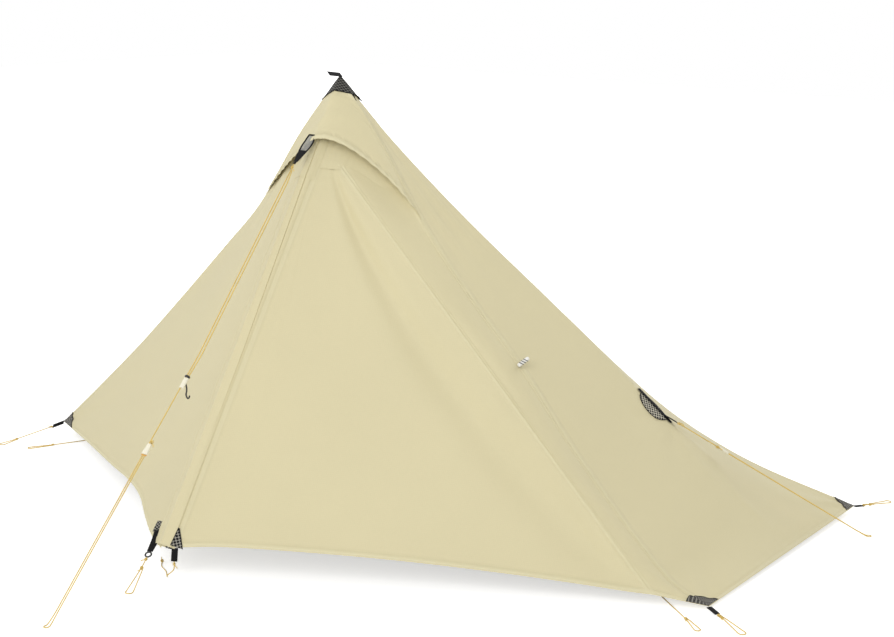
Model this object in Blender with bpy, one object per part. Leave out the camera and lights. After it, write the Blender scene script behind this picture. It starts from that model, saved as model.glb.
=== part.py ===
# One-person camping tent on a single centre pole, pitched, with its inner tent inside.
# Metres, +Z up. The origin is on the ground under the pole, +X runs to the foot end
# and -Y to the door. Every joint of the tent has its named sizes here at the top.
import math

import bmesh
import bpy
from mathutils import Matrix, Vector

# Fly plan and heights
APEX_HEIGHT = 1.25
HALF_LENGTH = 1.165
FRONT_LINE = -0.01
BACK_LINE = 0.91
CORNER_HEIGHT = 0.04
POINT_REACH = 0.69
POINT_HEIGHT = 0.115

# Slack of each ridge seam: the drop below a straight line, at fractions of its length
DROP_FRONT_RIGHT = ((0.0, 0.0), (0.12, 0.02), (0.25, 0.075), (0.4, 0.088), (0.52, 0.08),
                    (0.68, 0.1), (0.9, 0.078), (1.0, 0.0))
DROP_FRONT_LEFT = ((0.0, 0.0), (0.12, 0.02), (0.25, 0.075), (0.36, 0.073), (0.66, 0.052),
                   (0.9, 0.02), (1.0, 0.0))
DROP_BACK = ((0.0, 0.0), (0.25, 0.139), (0.5, 0.185), (0.75, 0.139), (1.0, 0.0))
DROP_CREST_FOOT = ((0.0, 0.0), (0.36, 0.022), (0.72, 0.0), (1.0, 0.0))
DROP_CREST_HEAD = ((0.0, 0.0), (0.36, 0.04), (0.72, 0.035), (1.0, 0.0))
CREST_PLACE = 0.54
BACK_MIDDLE_SLACK = 0.76
HEM_RISE_LEFT = 0.022
HEM_RISE_BACK = 0.02

# Fabric and layers. Sewn layers keep a hair of room so that each stays its own piece.
FABRIC = 0.0018
SEAM_GAP = 0.0004
LAYER_GAP = 0.0007
MESH = 0.0016
WEBBING = 0.0016
WEBBING_WIDTH = 0.015
SEWN = 0.0004

# Top of the tent
PANEL_TOP = 0.03
CAP_REACH = 0.05
CAP_REACH_FRONT = 0.04
CAP_TIP = 0.0045
VENT_BOTTOM = 0.194
HOOD_REACH = 0.238
HOOD_BRIM = Vector((0.0, -0.125, 1.078))
HOOD_SPREAD = 0.25
TAB_TIP = Vector((0.0, -0.191, 1.025))
TAB_WIDTH = 0.034

# Door, zip and storm flap, measured across the front right side from the front ridge
ZIP_LINE = 0.0165
ZIP_GAP = 0.0016
BEAD_WIDTH = 0.003
BEAD_HEIGHT = 0.0026
TAPE = 0.0012
TAPE_WIDTH = 0.009
BAND_REACH = 0.033
FLAP_REACH = 0.045
FLAP_SEAM = 0.0075
FLAP_LIFT = 0.0067
ZIP_BELOW_VENT = 0.0048
ZIP_ABOVE_HEM = 0.0057
FLAP_BELOW_ZIP = 0.038
FLAP_ABOVE_END = 0.02
HINGE_TOP_SHARE = 0.33
HINGE_FOOT = Vector((1.06, -0.065, 0.05))
VALLEY_DEPTH = 0.015
VALLEY_WIDTH = 0.085
SIDE_BULGE = 0.012
SLIDER_LENGTH = 0.014
SLIDER_WIDTH = 0.011
SLIDER_PLATE = 0.001
SLIDER_PLAY = 0.0004
ARCH_LENGTH = 0.007
ARCH_HEIGHT = 0.0036
ARCH_WIDTH = 0.0016
PULL_LENGTH = 0.024
PULL_WIDTH = 0.0045
PULL_PLATE = 0.0011

# Corners, pull-outs and tie-back
PATCH_REACH = 0.055
PATCH_SHARE = 0.055
PULLOUT_PLACE = 0.72
PULLOUT_REACH = 0.05
STRAP_LENGTH = 0.04
TIEBACK_PLACE = 0.405
TIEBACK_ACROSS = 0.965
TOGGLE_LENGTH = 0.036
TOGGLE_RADIUS = 0.0045

# Cords, with the ground end of each
CORD = 0.003
PEG_FRONT_LEFT = Vector((-1.235, -0.23, 0.0))
PEG_FRONT_RIGHT = Vector((1.33, -0.075, 0.0))
PEG_BACK = Vector((1.245, 1.07, 0.0))
PEG_POINT = Vector((0.0, -0.82, 0.0))
PEG_GUY_FRONT = Vector((0.0, -1.078, 0.0))
PEG_GUY_FOOT = Vector((1.304, 0.752, 0.0))
KNOT_SHARES = {"front_right": 0.16, "front_left": 0.72, "back_right": 0.3, "back_left": 0.3,
               "point": 0.3, "inner_right": 0.76, "inner_left": 0.72}
PEG_INNER_LEFT = Vector((-1.134, -0.2, 0.0))
PEG_INNER_RIGHT = Vector((1.236, -0.125, 0.0))
TENSIONER_LENGTH = 0.03
TENSIONER_WIDTH = 0.014
TENSIONER_HEIGHT = 0.0075
TENSIONER_PLAY = 0.0004
STRAND_SPACING = 0.0065
TENSIONER_FOOT_SHARE = 0.24

# Inner tent
FLOOR_HALF_LENGTH = 1.02
FLOOR_FRONT = 0.055
FLOOR_BACK = 0.76
FLOOR_WALL = 0.09
FLOOR_LEAN = 0.02
FLOOR_SHEET = 0.0016
INNER_APEX = Vector((0.0, 0.046, 1.09))
INNER_DROP_FRONT = 0.1
INNER_DROP_BACK = 0.22
INNER_DOOR_TOP = Vector((0.05, 0.0, 0.84))
INNER_DOOR_FOOT = 0.92

# Centre pole
POLE_LOWER_RADIUS = 0.009
POLE_UPPER_RADIUS = 0.0076
POLE_WALL = 0.001
POLE_LOWER_TOP = 0.62
POLE_OVERLAP = 0.12
POLE_PIN_RADIUS = 0.0045
POLE_PIN_LENGTH = 0.066
POLE_BELOW_APEX = 0.024
POLE_PIN_TOP = APEX_HEIGHT - POLE_BELOW_APEX
POLE_UPPER_TOP = POLE_PIN_TOP - POLE_PIN_LENGTH
FOOT_RADIUS = 0.0135
FOOT_HEIGHT = 0.036
FOOT_SOLE = 0.006
RUNNING = 0.0004
CLAMP_HEIGHT = 0.04
CLAMP_WALL = 0.0035
LEVER_PIN_RADIUS = 0.0016
POCKET_RADIUS = 0.009
POCKET_DROP = 0.04

APEX = Vector((0.0, 0.0, APEX_HEIGHT - 0.003))
CORNERS = {
    "front_right": (Vector((HALF_LENGTH, FRONT_LINE, CORNER_HEIGHT)), DROP_FRONT_RIGHT),
    "front_left": (Vector((-HALF_LENGTH, FRONT_LINE, CORNER_HEIGHT)), DROP_FRONT_LEFT),
    "back_right": (Vector((HALF_LENGTH, BACK_LINE, CORNER_HEIGHT)), DROP_BACK),
    "back_left": (Vector((-HALF_LENGTH, BACK_LINE, CORNER_HEIGHT)), DROP_BACK),
    "point": (Vector((0.0, -POINT_REACH, POINT_HEIGHT)), ((0.0, 0.0), (1.0, 0.0))),
}


def clear_scene():
    for thing in list(bpy.data.objects):
        bpy.data.objects.remove(thing, do_unlink=True)


MATERIALS = {
    "silnylon": ((0.66, 0.60, 0.41), 0.55, 0.0),
    "mesh_black": ((0.03, 0.03, 0.032), 0.8, 0.0),
    "webbing_black": ((0.015, 0.015, 0.016), 0.75, 0.0),
    "cord_yellow": ((0.78, 0.55, 0.13), 0.6, 0.0),
    "plastic_cream": ((0.72, 0.67, 0.5), 0.4, 0.0),
    "plastic_black": ((0.02, 0.02, 0.02), 0.4, 0.0),
    "zip_black": ((0.03, 0.03, 0.03), 0.5, 0.0),
    "floor_grey": ((0.09, 0.1, 0.1), 0.6, 0.0),
    "alloy": ((0.55, 0.56, 0.57), 0.35, 0.9),
    "rubber": ((0.02, 0.02, 0.02), 0.9, 0.0),
}


def material(name):
    found = bpy.data.materials.get(name)
    if found:
        return found
    colour, roughness, metallic = MATERIALS[name]
    made = bpy.data.materials.new(name)
    made.use_nodes = True
    shader = made.node_tree.nodes["Principled BSDF"]
    shader.inputs["Base Color"].default_value = (*colour, 1.0)
    shader.inputs["Roughness"].default_value = roughness
    shader.inputs["Metallic"].default_value = metallic
    return made


def add_object(name, mesh, slot, matrix=None, smooth_angle=30.0):
    thing = bpy.data.objects.new(name, mesh)
    bpy.context.scene.collection.objects.link(thing)
    mesh.materials.append(material(slot))
    if matrix is not None:
        thing.matrix_world = matrix
    mesh.shade_smooth()
    mesh.set_sharp_from_angle(angle=math.radians(smooth_angle))
    return thing


def mesh_from(name, points, faces):
    mesh = bpy.data.meshes.new(name)
    work = bmesh.new()
    corners = [work.verts.new(point) for point in points]
    for face in faces:
        work.faces.new([corners[i] for i in face])
    bmesh.ops.recalc_face_normals(work, faces=work.faces)
    work.to_mesh(mesh)
    work.free()
    return mesh


def smooth(points, t):
    # A smooth curve through (place, value) pairs.
    last = len(points) - 1
    i = 0
    while i < last - 1 and t > points[i + 1][0]:
        i += 1

    def slope(k):
        a = max(k - 1, 0)
        b = min(k + 1, last)
        return (points[b][1] - points[a][1]) / (points[b][0] - points[a][0])

    x0, y0 = points[i]
    x1, y1 = points[i + 1]
    span = x1 - x0
    u = (t - x0) / span
    return (
        (2 * u**3 - 3 * u**2 + 1) * y0
        + (u**3 - 2 * u**2 + u) * span * slope(i)
        + (3 * u**2 - 2 * u**3) * y1
        + (u**3 - u**2) * span * slope(i + 1)
    )


def out_dir(point):
    # Outward and up, the same for every layer, so that layers and seams follow each other.
    middle = 0.2 * (1.0 - point.z / APEX_HEIGHT)
    flat = Vector((point.x, point.y - middle, 0.0))
    reach = flat.length
    if reach < 1e-6:
        return Vector((0.0, 0.0, 1.0))
    flat = flat / reach * min(1.0, reach / 0.02)
    return (flat + Vector((0.0, 0.0, 1.0))).normalized()


def lift(point, height):
    return point + out_dir(point) * height


def spread(count, start=0.0, end=1.0):
    return [start + (end - start) * i / count for i in range(count + 1)]


def ridge(corner, t):
    foot, drop = CORNERS[corner]
    point = APEX.lerp(foot, t)
    point.z -= smooth(drop, t)
    return point


def soft_edge(x):
    # Rises in a straight line from 0 with a short rounded start, and is 1 at 1.
    soft = 0.05
    return (x + math.hypot(x, soft)) / (1.0 + math.hypot(1.0, soft))


def crest_panel(front, back, crest_drop, s, t):
    # An end of the fly: two faces that meet along the crest that the pull-out raises.
    front_foot, front_slack = CORNERS[front]
    back_foot, back_slack = CORNERS[back]
    point = APEX.lerp(front_foot.lerp(back_foot, s), t)
    front_share = soft_edge((CREST_PLACE - s) / CREST_PLACE) if s < 1.0 else 0.0
    back_share = soft_edge((s - CREST_PLACE) / (1.0 - CREST_PLACE)) if s > 0.0 else 0.0
    point.z -= front_share * smooth(front_slack, t) + back_share * smooth(back_slack, t)
    near = s / CREST_PLACE if s < CREST_PLACE else (1.0 - s) / (1.0 - CREST_PLACE)
    point.z -= smooth(crest_drop, t) * max(0.0, near)
    return point


def foot_end(s, t):
    return crest_panel("front_right", "back_right", DROP_CREST_FOOT, s, t)


def head_end(s, t):
    return crest_panel("front_left", "back_left", DROP_CREST_HEAD, s, t)


def back_side(s, t):
    right_foot, slack = CORNERS["back_right"]
    left_foot = CORNERS["back_left"][0]
    bow = 4.0 * s * (1.0 - s)
    point = APEX.lerp(right_foot.lerp(left_foot, s), t * (1.0 - HEM_RISE_BACK * bow * t))
    point.z -= smooth(slack, t) * (1.0 - (1.0 - BACK_MIDDLE_SLACK) * bow)
    return point


def front_left_side(s, t):
    # From the front left ridge, at 0, to the front ridge, at 1.
    foot, slack = CORNERS["front_left"]
    point_foot = CORNERS["point"][0]
    bow = 4.0 * s * (1.0 - s)
    point = APEX.lerp(foot.lerp(point_foot, s), t * (1.0 - HEM_RISE_LEFT * bow * t))
    point.z -= smooth(slack, t) * max(0.0, 1.0 - s / 0.9) ** 1.15
    return point


POINT_FOOT = CORNERS["point"][0]
RIGHT_FOOT = CORNERS["front_right"][0]
DOWN = (POINT_FOOT - APEX).normalized()
RIDGE_LENGTH = (POINT_FOOT - APEX).length
RIGHT_NORMAL = (POINT_FOOT - APEX).cross(RIGHT_FOOT - APEX).normalized()
if RIGHT_NORMAL.y > 0.0:
    RIGHT_NORMAL.negate()
ACROSS = RIGHT_NORMAL.cross(DOWN)
if ACROSS.x < 0.0:
    ACROSS.negate()
SIDE_WIDTH = (RIGHT_FOOT - POINT_FOOT).dot(ACROSS)
# The zip's ends are marked on the seam to the whole millimetre
ZIP_TOP = round(VENT_BOTTOM * RIDGE_LENGTH + ZIP_BELOW_VENT, 3)
ZIP_END = round(RIDGE_LENGTH - ZIP_ABOVE_HEM, 3)
FLAP_TOP = ZIP_TOP + FLAP_BELOW_ZIP
FLAP_END = ZIP_END - FLAP_ABOVE_END
LEFT_NORMAL = Vector((-RIGHT_NORMAL.x, RIGHT_NORMAL.y, RIGHT_NORMAL.z))
LEFT_ACROSS = Vector((-ACROSS.x, ACROSS.y, ACROSS.z))


def on_right(across, down, height=0.0):
    # A place on the flat of the front right side, from the front ridge.
    return APEX + ACROSS * across + DOWN * down + RIGHT_NORMAL * height


def on_left(across, down, height=0.0):
    return APEX + LEFT_ACROSS * across + DOWN * down + LEFT_NORMAL * height


def right_row(t, across):
    # The same flat side, by its share of the way down and its distance from the ridge.
    return APEX.lerp(POINT_FOOT.lerp(RIGHT_FOOT, across / (t * SIDE_WIDTH)), t)


def hinge_point(v):
    top = APEX.lerp(POINT_FOOT.lerp(RIGHT_FOOT, HINGE_TOP_SHARE), VENT_BOTTOM)
    return top.lerp(HINGE_FOOT, v)


def rounded(x):
    return math.exp(-x * x)


DOOR_EDGE = ZIP_LINE + ZIP_GAP / 2 + TAPE_WIDTH + SEAM_GAP


def door_side(u, v):
    # The door, from its zip edge at 0 to the line that it folds back on at 1.
    t = VENT_BOTTOM + (1.0 - VENT_BOTTOM) * v
    start = right_row(t, DOOR_EDGE)
    end = hinge_point(v)
    fade = min(1.0, v / 0.15, (1.0 - v) / 0.08) * min(1.0, (1.0 - u) / 0.06)
    fold = -VALLEY_DEPTH * rounded((u - 0.58 - 0.38 * v) / VALLEY_WIDTH) * max(0.0, fade)
    belly = -0.006 * math.sin(math.pi * u) ** 2 * math.sin(math.pi * v)
    if u < 0.12:
        belly = 0.0
    return start.lerp(end, u) + RIGHT_NORMAL * (fold + belly)


def beside_door(u, v):
    # The fixed strip between the line that the door folds on and the front right ridge.
    t = VENT_BOTTOM + (1.0 - VENT_BOTTOM) * v
    point = hinge_point(v).lerp(ridge("front_right", t), u)
    swell = SIDE_BULGE * math.sin(math.pi * u) * math.sin(math.pi * v) * min(1.0, (1.0 - v) * 4.0)
    return point + RIGHT_NORMAL * swell


def cell(places, x):
    i = 0
    while i < len(places) - 2 and x > places[i + 1]:
        i += 1
    return i, (x - places[i]) / (places[i + 1] - places[i])


class Cloth:
    # A surface cut into flat triangles: any layer over it follows the same triangles.
    def __init__(self, surface, across, along):
        self.across = across
        self.along = along
        self.grid = [[surface(s, t) for s in across] for t in along]

    def at(self, s, t):
        j, u = cell(self.across, s)
        i, v = cell(self.along, t)
        a, b = self.grid[i][j : j + 2]
        c, d = self.grid[i + 1][j : j + 2]
        if u + v <= 1.0:
            return a + (b - a) * u + (c - a) * v
        return d + (c - d) * (1.0 - u) + (b - d) * (1.0 - v)

    def sheet(self, name, slot, thickness=FABRIC, raised=0.0, edge=SEAM_GAP / 2):
        # A closed sheet, with its side edges drawn in by a hair at each seam.
        top = []
        for row in self.grid:
            first = (row[1] - row[0]).normalized() * edge
            last = (row[-2] - row[-1]).normalized() * edge
            top.append([row[0] + first] + row[1:-1] + [row[-1] + last])
        outer = [[lift(p, raised) for p in row] for row in top]
        inner = [[lift(p, raised - thickness) for p in row] for row in top]
        return closed_sheet(name, outer, inner, slot)


def closed_sheet(name, outer, inner, slot, matrix=None):
    rows = len(outer)
    cols = len(outer[0])
    points = [p for row in outer for p in row] + [p for row in inner for p in row]
    base = rows * cols
    faces = []
    for i in range(rows - 1):
        for j in range(cols - 1):
            a = i * cols + j
            b = a + base
            faces.append((a, a + 1, a + cols))
            faces.append((a + 1, a + cols + 1, a + cols))
            faces.append((b, b + cols, b + 1))
            faces.append((b + 1, b + cols, b + cols + 1))
    rim = [(0, j) for j in range(cols)]
    rim += [(i, cols - 1) for i in range(1, rows)]
    rim += [(rows - 1, j) for j in range(cols - 2, -1, -1)]
    rim += [(i, 0) for i in range(rows - 2, 0, -1)]
    for k in range(len(rim)):
        i, j = rim[k]
        m, n = rim[(k + 1) % len(rim)]
        a = i * cols + j
        b = m * cols + n
        faces.append((a, b, base + b, base + a))
    return add_object(name, mesh_from(name, points, faces), slot, matrix)


def turned(name, profile, slot, sides=20, matrix=None, closed=False):
    # A turned piece about the local Z axis, from (radius, height) pairs.
    points = []
    rings = []
    for radius, height in profile:
        if radius < 1e-7:
            rings.append([len(points)])
            points.append(Vector((0.0, 0.0, height)))
            continue
        ring = []
        for k in range(sides):
            angle = 2 * math.pi * k / sides
            ring.append(len(points))
            points.append(Vector((radius * math.cos(angle), radius * math.sin(angle), height)))
        rings.append(ring)
    pairs = list(zip(rings, rings[1:]))
    if closed:
        pairs.append((rings[-1], rings[0]))
    faces = []
    for low, high in pairs:
        for k in range(sides):
            m = (k + 1) % sides
            if len(low) == 1:
                faces.append((low[0], high[k], high[m]))
            elif len(high) == 1:
                faces.append((low[k], low[m], high[0]))
            else:
                faces.append((low[k], low[m], high[m], high[k]))
    return add_object(name, mesh_from(name, points, faces), slot, matrix)


def profile_run(name, outline, place, downs, slot):
    # A constant outline of (across, height) points, run straight down the front ridge.
    count = len(outline)
    points = [place(a, d, h) for d in downs for a, h in outline]
    faces = []
    for i in range(len(downs) - 1):
        for k in range(count):
            m = (k + 1) % count
            a = i * count
            faces.append((a + k, a + m, a + count + m, a + count + k))
    faces.append(tuple(range(count)))
    faces.append(tuple(range(len(points) - count, len(points))))
    return add_object(name, mesh_from(name, points, faces), slot)


def frame_along(start, end, up=Vector((0.0, 0.0, 1.0))):
    # A placing matrix at start, with local X towards end and local Z near up.
    x = (end - start).normalized()
    y = up.cross(x).normalized()
    z = x.cross(y)
    turn = Matrix((x, y, z)).transposed().to_4x4()
    return Matrix.Translation(start) @ turn


def block(name, size, slot, matrix, bevel=0.0, centre=(0.0, 0.0, 0.0)):
    mesh = bpy.data.meshes.new(name)
    work = bmesh.new()
    bmesh.ops.create_cube(work, size=1.0)
    for corner in work.verts:
        corner.co = Vector((corner.co[i] * size[i] + centre[i] for i in range(3)))
    if bevel:
        bmesh.ops.bevel(work, geom=work.edges[:], offset=bevel, segments=2, affect="EDGES",
                        profile=0.5)
    work.to_mesh(mesh)
    work.free()
    return add_object(name, mesh, slot, matrix)


def cut(thing, cutter):
    step = thing.modifiers.new("cut_" + cutter.name, "BOOLEAN")
    step.operation = "DIFFERENCE"
    step.solver = "EXACT"
    step.object = cutter
    cutter.hide_render = True
    cutter.display_type = "WIRE"


def join_to(thing, other):
    step = thing.modifiers.new("join_" + other.name, "BOOLEAN")
    step.operation = "UNION"
    step.solver = "EXACT"
    step.object = other
    other.hide_render = True
    other.display_type = "WIRE"


def cord(name, route, radius=CORD / 2, slot="cord_yellow"):
    # A round cord through the places given.
    shape = bpy.data.curves.new(name, "CURVE")
    shape.dimensions = "3D"
    shape.bevel_depth = radius
    shape.bevel_resolution = 2
    shape.use_fill_caps = True
    spline = shape.splines.new("POLY")
    spline.points.add(len(route) - 1)
    for knot, place in zip(spline.points, route):
        knot.co = (*place, 1.0)
    thing = bpy.data.objects.new(name, shape)
    bpy.context.scene.collection.objects.link(thing)
    shape.materials.append(material(slot))
    return thing


def curve_through(route, count):
    # Evenly spaced places on a smooth curve through the route.
    places = [0.0]
    for a, b in zip(route, route[1:]):
        places.append(places[-1] + (b - a).length)
    tracks = [[(d, p[i]) for d, p in zip(places, route)] for i in range(3)]
    return [Vector((smooth(track, d) for track in tracks)) for d in spread(count, 0.0, places[-1])]


def ribbon(name, route, side, thickness=WEBBING, slot="webbing_black", matrix=None):
    # A flat strap: the route is the middle of its lower face, side is half its width.
    outer = []
    inner = []
    last = len(route) - 1
    for k, place in enumerate(route):
        run = route[min(k + 1, last)] - route[max(k - 1, 0)]
        up = run.cross(side).normalized() * thickness
        if up.z < 0.0:
            up.negate()
        inner.append([place - side, place + side])
        outer.append([place - side + up, place + side + up])
    return closed_sheet(name, outer, inner, slot, matrix)


def set_origin(thing, place):
    # Puts the origin of a moving piece on its joint.
    thing.data.transform(Matrix.Translation(-place))
    thing.matrix_world = Matrix.Translation(place) @ thing.matrix_world


def mirrored(place):
    return Vector((-place.x, place.y, place.z))


UPPER_ROWS = spread(3, PANEL_TOP, VENT_BOTTOM)
LOWER_ROWS = spread(12, VENT_BOTTOM, 1.0)
ALL_ROWS = UPPER_ROWS + LOWER_ROWS[1:]
CREST_COLUMNS = spread(6, 0.0, CREST_PLACE) + spread(5, CREST_PLACE, 1.0)[1:]
SPLIT = 0.0003
DOOR_ROWS = [(t - VENT_BOTTOM) / (1.0 - VENT_BOTTOM) for t in LOWER_ROWS]

foot_cloth = Cloth(foot_end, CREST_COLUMNS, ALL_ROWS)
head_cloth = Cloth(head_end, CREST_COLUMNS, ALL_ROWS)
back_cloth = Cloth(back_side, spread(10), ALL_ROWS)
left_cloth = Cloth(front_left_side, spread(12), [LOWER_ROWS[0] + SPLIT] + LOWER_ROWS[1:])
door_cloth = Cloth(door_side, spread(16), [SPLIT] + DOOR_ROWS[1:])
beside_cloth = Cloth(beside_door, spread(5), [SPLIT] + DOOR_ROWS[1:])


def make_panels():
    foot_cloth.sheet("foot_end_panel", "silnylon")
    head_cloth.sheet("head_end_panel", "silnylon")
    back_cloth.sheet("back_panel", "silnylon")
    left_cloth.sheet("front_left_panel", "silnylon")
    door_cloth.sheet("door_panel", "silnylon")
    beside_cloth.sheet("door_side_panel", "silnylon")


def vent_surface(s, t):
    # The mesh under the hood, over both front sides: left below 1, right above it.
    if s <= 1.0:
        return front_left_side(s, t)
    foot, slack = CORNERS["front_right"]
    share = s - 1.0
    point = APEX.lerp(POINT_FOOT.lerp(foot, share), t)
    lower = (share - HINGE_TOP_SHARE) / (1.0 - HINGE_TOP_SHARE)
    point.z -= smooth(slack, t) * max(0.0, lower)
    return point


VENT_COLUMNS = spread(8) + [1.0 + s for s in (0.16, HINGE_TOP_SHARE, 0.5, 0.75, 1.0)]


def make_vent():
    rows = UPPER_ROWS[:-1] + [VENT_BOTTOM - SPLIT]
    Cloth(vent_surface, VENT_COLUMNS, rows).sheet("vent_mesh", "mesh_black", MESH)


def hood_surface(s, t):
    # From the left ridge seam at -1, over the brim at 0, to the right ridge seam at 1.
    v = (t - PANEL_TOP) / (HOOD_REACH - PANEL_TOP)
    ridge_cloth = foot_cloth if s >= 0.0 else head_cloth
    end = ridge_cloth.at(0.0, t)
    start = APEX.lerp(POINT_FOOT, PANEL_TOP).lerp(HOOD_BRIM, v)
    turn = 1.0 if s >= 0.0 else -1.0
    lead = Vector((turn * HOOD_SPREAD * v, 0.0, 0.0))
    arrive = Vector((turn * 0.2, 0.12, -0.3)) * v
    w = abs(s)
    return (
        start * (2 * w**3 - 3 * w**2 + 1)
        + lead * (w**3 - 2 * w**2 + w)
        + end * (3 * w**2 - 2 * w**3)
        + arrive * (w**3 - w**2)
    )


HOOD_ROWS = [UPPER_ROWS[0], 0.057, UPPER_ROWS[1], 0.112, UPPER_ROWS[2], 0.167, UPPER_ROWS[3],
             0.217, HOOD_REACH]
hood_cloth = Cloth(hood_surface, spread(20, -1.0, 1.0), HOOD_ROWS)


def make_hood():
    hood_cloth.sheet("hood", "silnylon", raised=FABRIC + LAYER_GAP, edge=0.0)
    drop = (TAB_TIP - HOOD_BRIM).normalized()
    start = lift(HOOD_BRIM, LAYER_GAP) + drop * (FABRIC * 0.3 + SEWN)
    half = Vector((TAB_WIDTH / 2, 0.0, 0.0))
    rows = ((0.0, 1.0), (0.35, 0.72), (0.7, 0.45), (1.0, 0.24))
    low = [[start.lerp(TAB_TIP, v) - half * w, start.lerp(TAB_TIP, v) + half * w] for v, w in rows]
    up = drop.cross(half).normalized()
    if up.z < 0.0:
        up.negate()
    high = [[p + up * WEBBING for p in row] for row in low]
    closed_sheet("hood_tab", high, low, "webbing_black")


def top_ring():
    # Places round the top: which cloth, where across it, and how far down it.
    ring = [(foot_cloth, s, CAP_REACH) for s in (0.0, 0.27, CREST_PLACE, 0.77)]
    ring += [(back_cloth, s, CAP_REACH) for s in spread(5)[:-1]]
    ring += [(head_cloth, s, CAP_REACH) for s in (1.0, 0.77, CREST_PLACE, 0.27)]
    for s in spread(20, -1.0, 1.0)[:-1]:
        reach = CAP_REACH_FRONT + (CAP_REACH - CAP_REACH_FRONT) * abs(s)
        ring.append((hood_cloth, s, reach))
    return ring


def make_cap():
    ring = top_ring()
    count = len(ring)
    over_hood = FABRIC + 2 * LAYER_GAP
    outer = []
    inner = []
    for share in (0.3, 0.62, 0.8, 1.0):
        outer_row = []
        inner_row = []
        for cloth, s, reach in ring:
            t = PANEL_TOP + (reach - PANEL_TOP) * max(0.0, share - 0.62) / 0.38
            if share < 0.6:
                t = PANEL_TOP * 0.5
            if t >= PANEL_TOP:
                place = cloth.at(s, t)
            else:
                place = APEX.lerp(cloth.at(s, PANEL_TOP), 0.5)
            outer_row.append(lift(place, over_hood + WEBBING))
            inner_row.append(lift(place, over_hood))
        outer.append(outer_row)
        inner.append(inner_row)
    points = [p for row in outer for p in row] + [p for row in inner for p in row]
    rows = len(outer)
    base = rows * count
    faces = []
    for i in range(rows - 1):
        for k in range(count):
            m = (k + 1) % count
            a = i * count
            faces.append((a + k, a + m, a + count + m, a + count + k))
            b = base + a
            faces.append((b + k, b + count + k, b + count + m, b + m))
    for k in range(count):
        m = (k + 1) % count
        a = (rows - 1) * count
        faces.append((a + k, a + m, base + a + m, base + a + k))
    points.append(APEX + Vector((0.0, 0.0, CAP_TIP)))
    points.append(APEX + Vector((0.0, 0.0, CAP_TIP - WEBBING)))
    for k in range(count):
        m = (k + 1) % count
        faces.append((len(points) - 2, m, k))
        faces.append((len(points) - 1, base + k, base + m))
    add_object("apex_cap", mesh_from("apex_cap", points, faces), "mesh_black")
    start = APEX + Vector((0.0, 0.003, CAP_TIP + SEAM_GAP))
    tip = Vector((0.0, -0.05, APEX_HEIGHT + 0.0066))
    ribbon("apex_tab", [start, start.lerp(tip, 0.5), tip], Vector((-WEBBING_WIDTH / 2, 0.0, 0.0)))


MIDDLE_NORMAL = (RIGHT_NORMAL + LEFT_NORMAL).normalized()
RIDGE_MITRE = MIDDLE_NORMAL.dot(RIGHT_NORMAL)


def on_front(across, down, height):
    # Across the front ridge: right of it above 0, left of it below 0.
    if across > 0.0:
        return on_right(across, down, height)
    if across < 0.0:
        return on_left(-across, down, height)
    return APEX + DOWN * down + MIDDLE_NORMAL * (height / RIDGE_MITRE)


BEAD_TOP = (BEAD_HEIGHT - TAPE) / 2


def chain_outline(turn):
    near = ZIP_LINE + turn * ZIP_GAP / 2
    bead = near + turn * BEAD_WIDTH
    far = near + turn * TAPE_WIDTH
    outline = [(far, 0.0), (bead, 0.0), (bead, BEAD_TOP), (near, BEAD_TOP)]
    return outline + [(a, -TAPE - h) for a, h in reversed(outline)]


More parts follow.
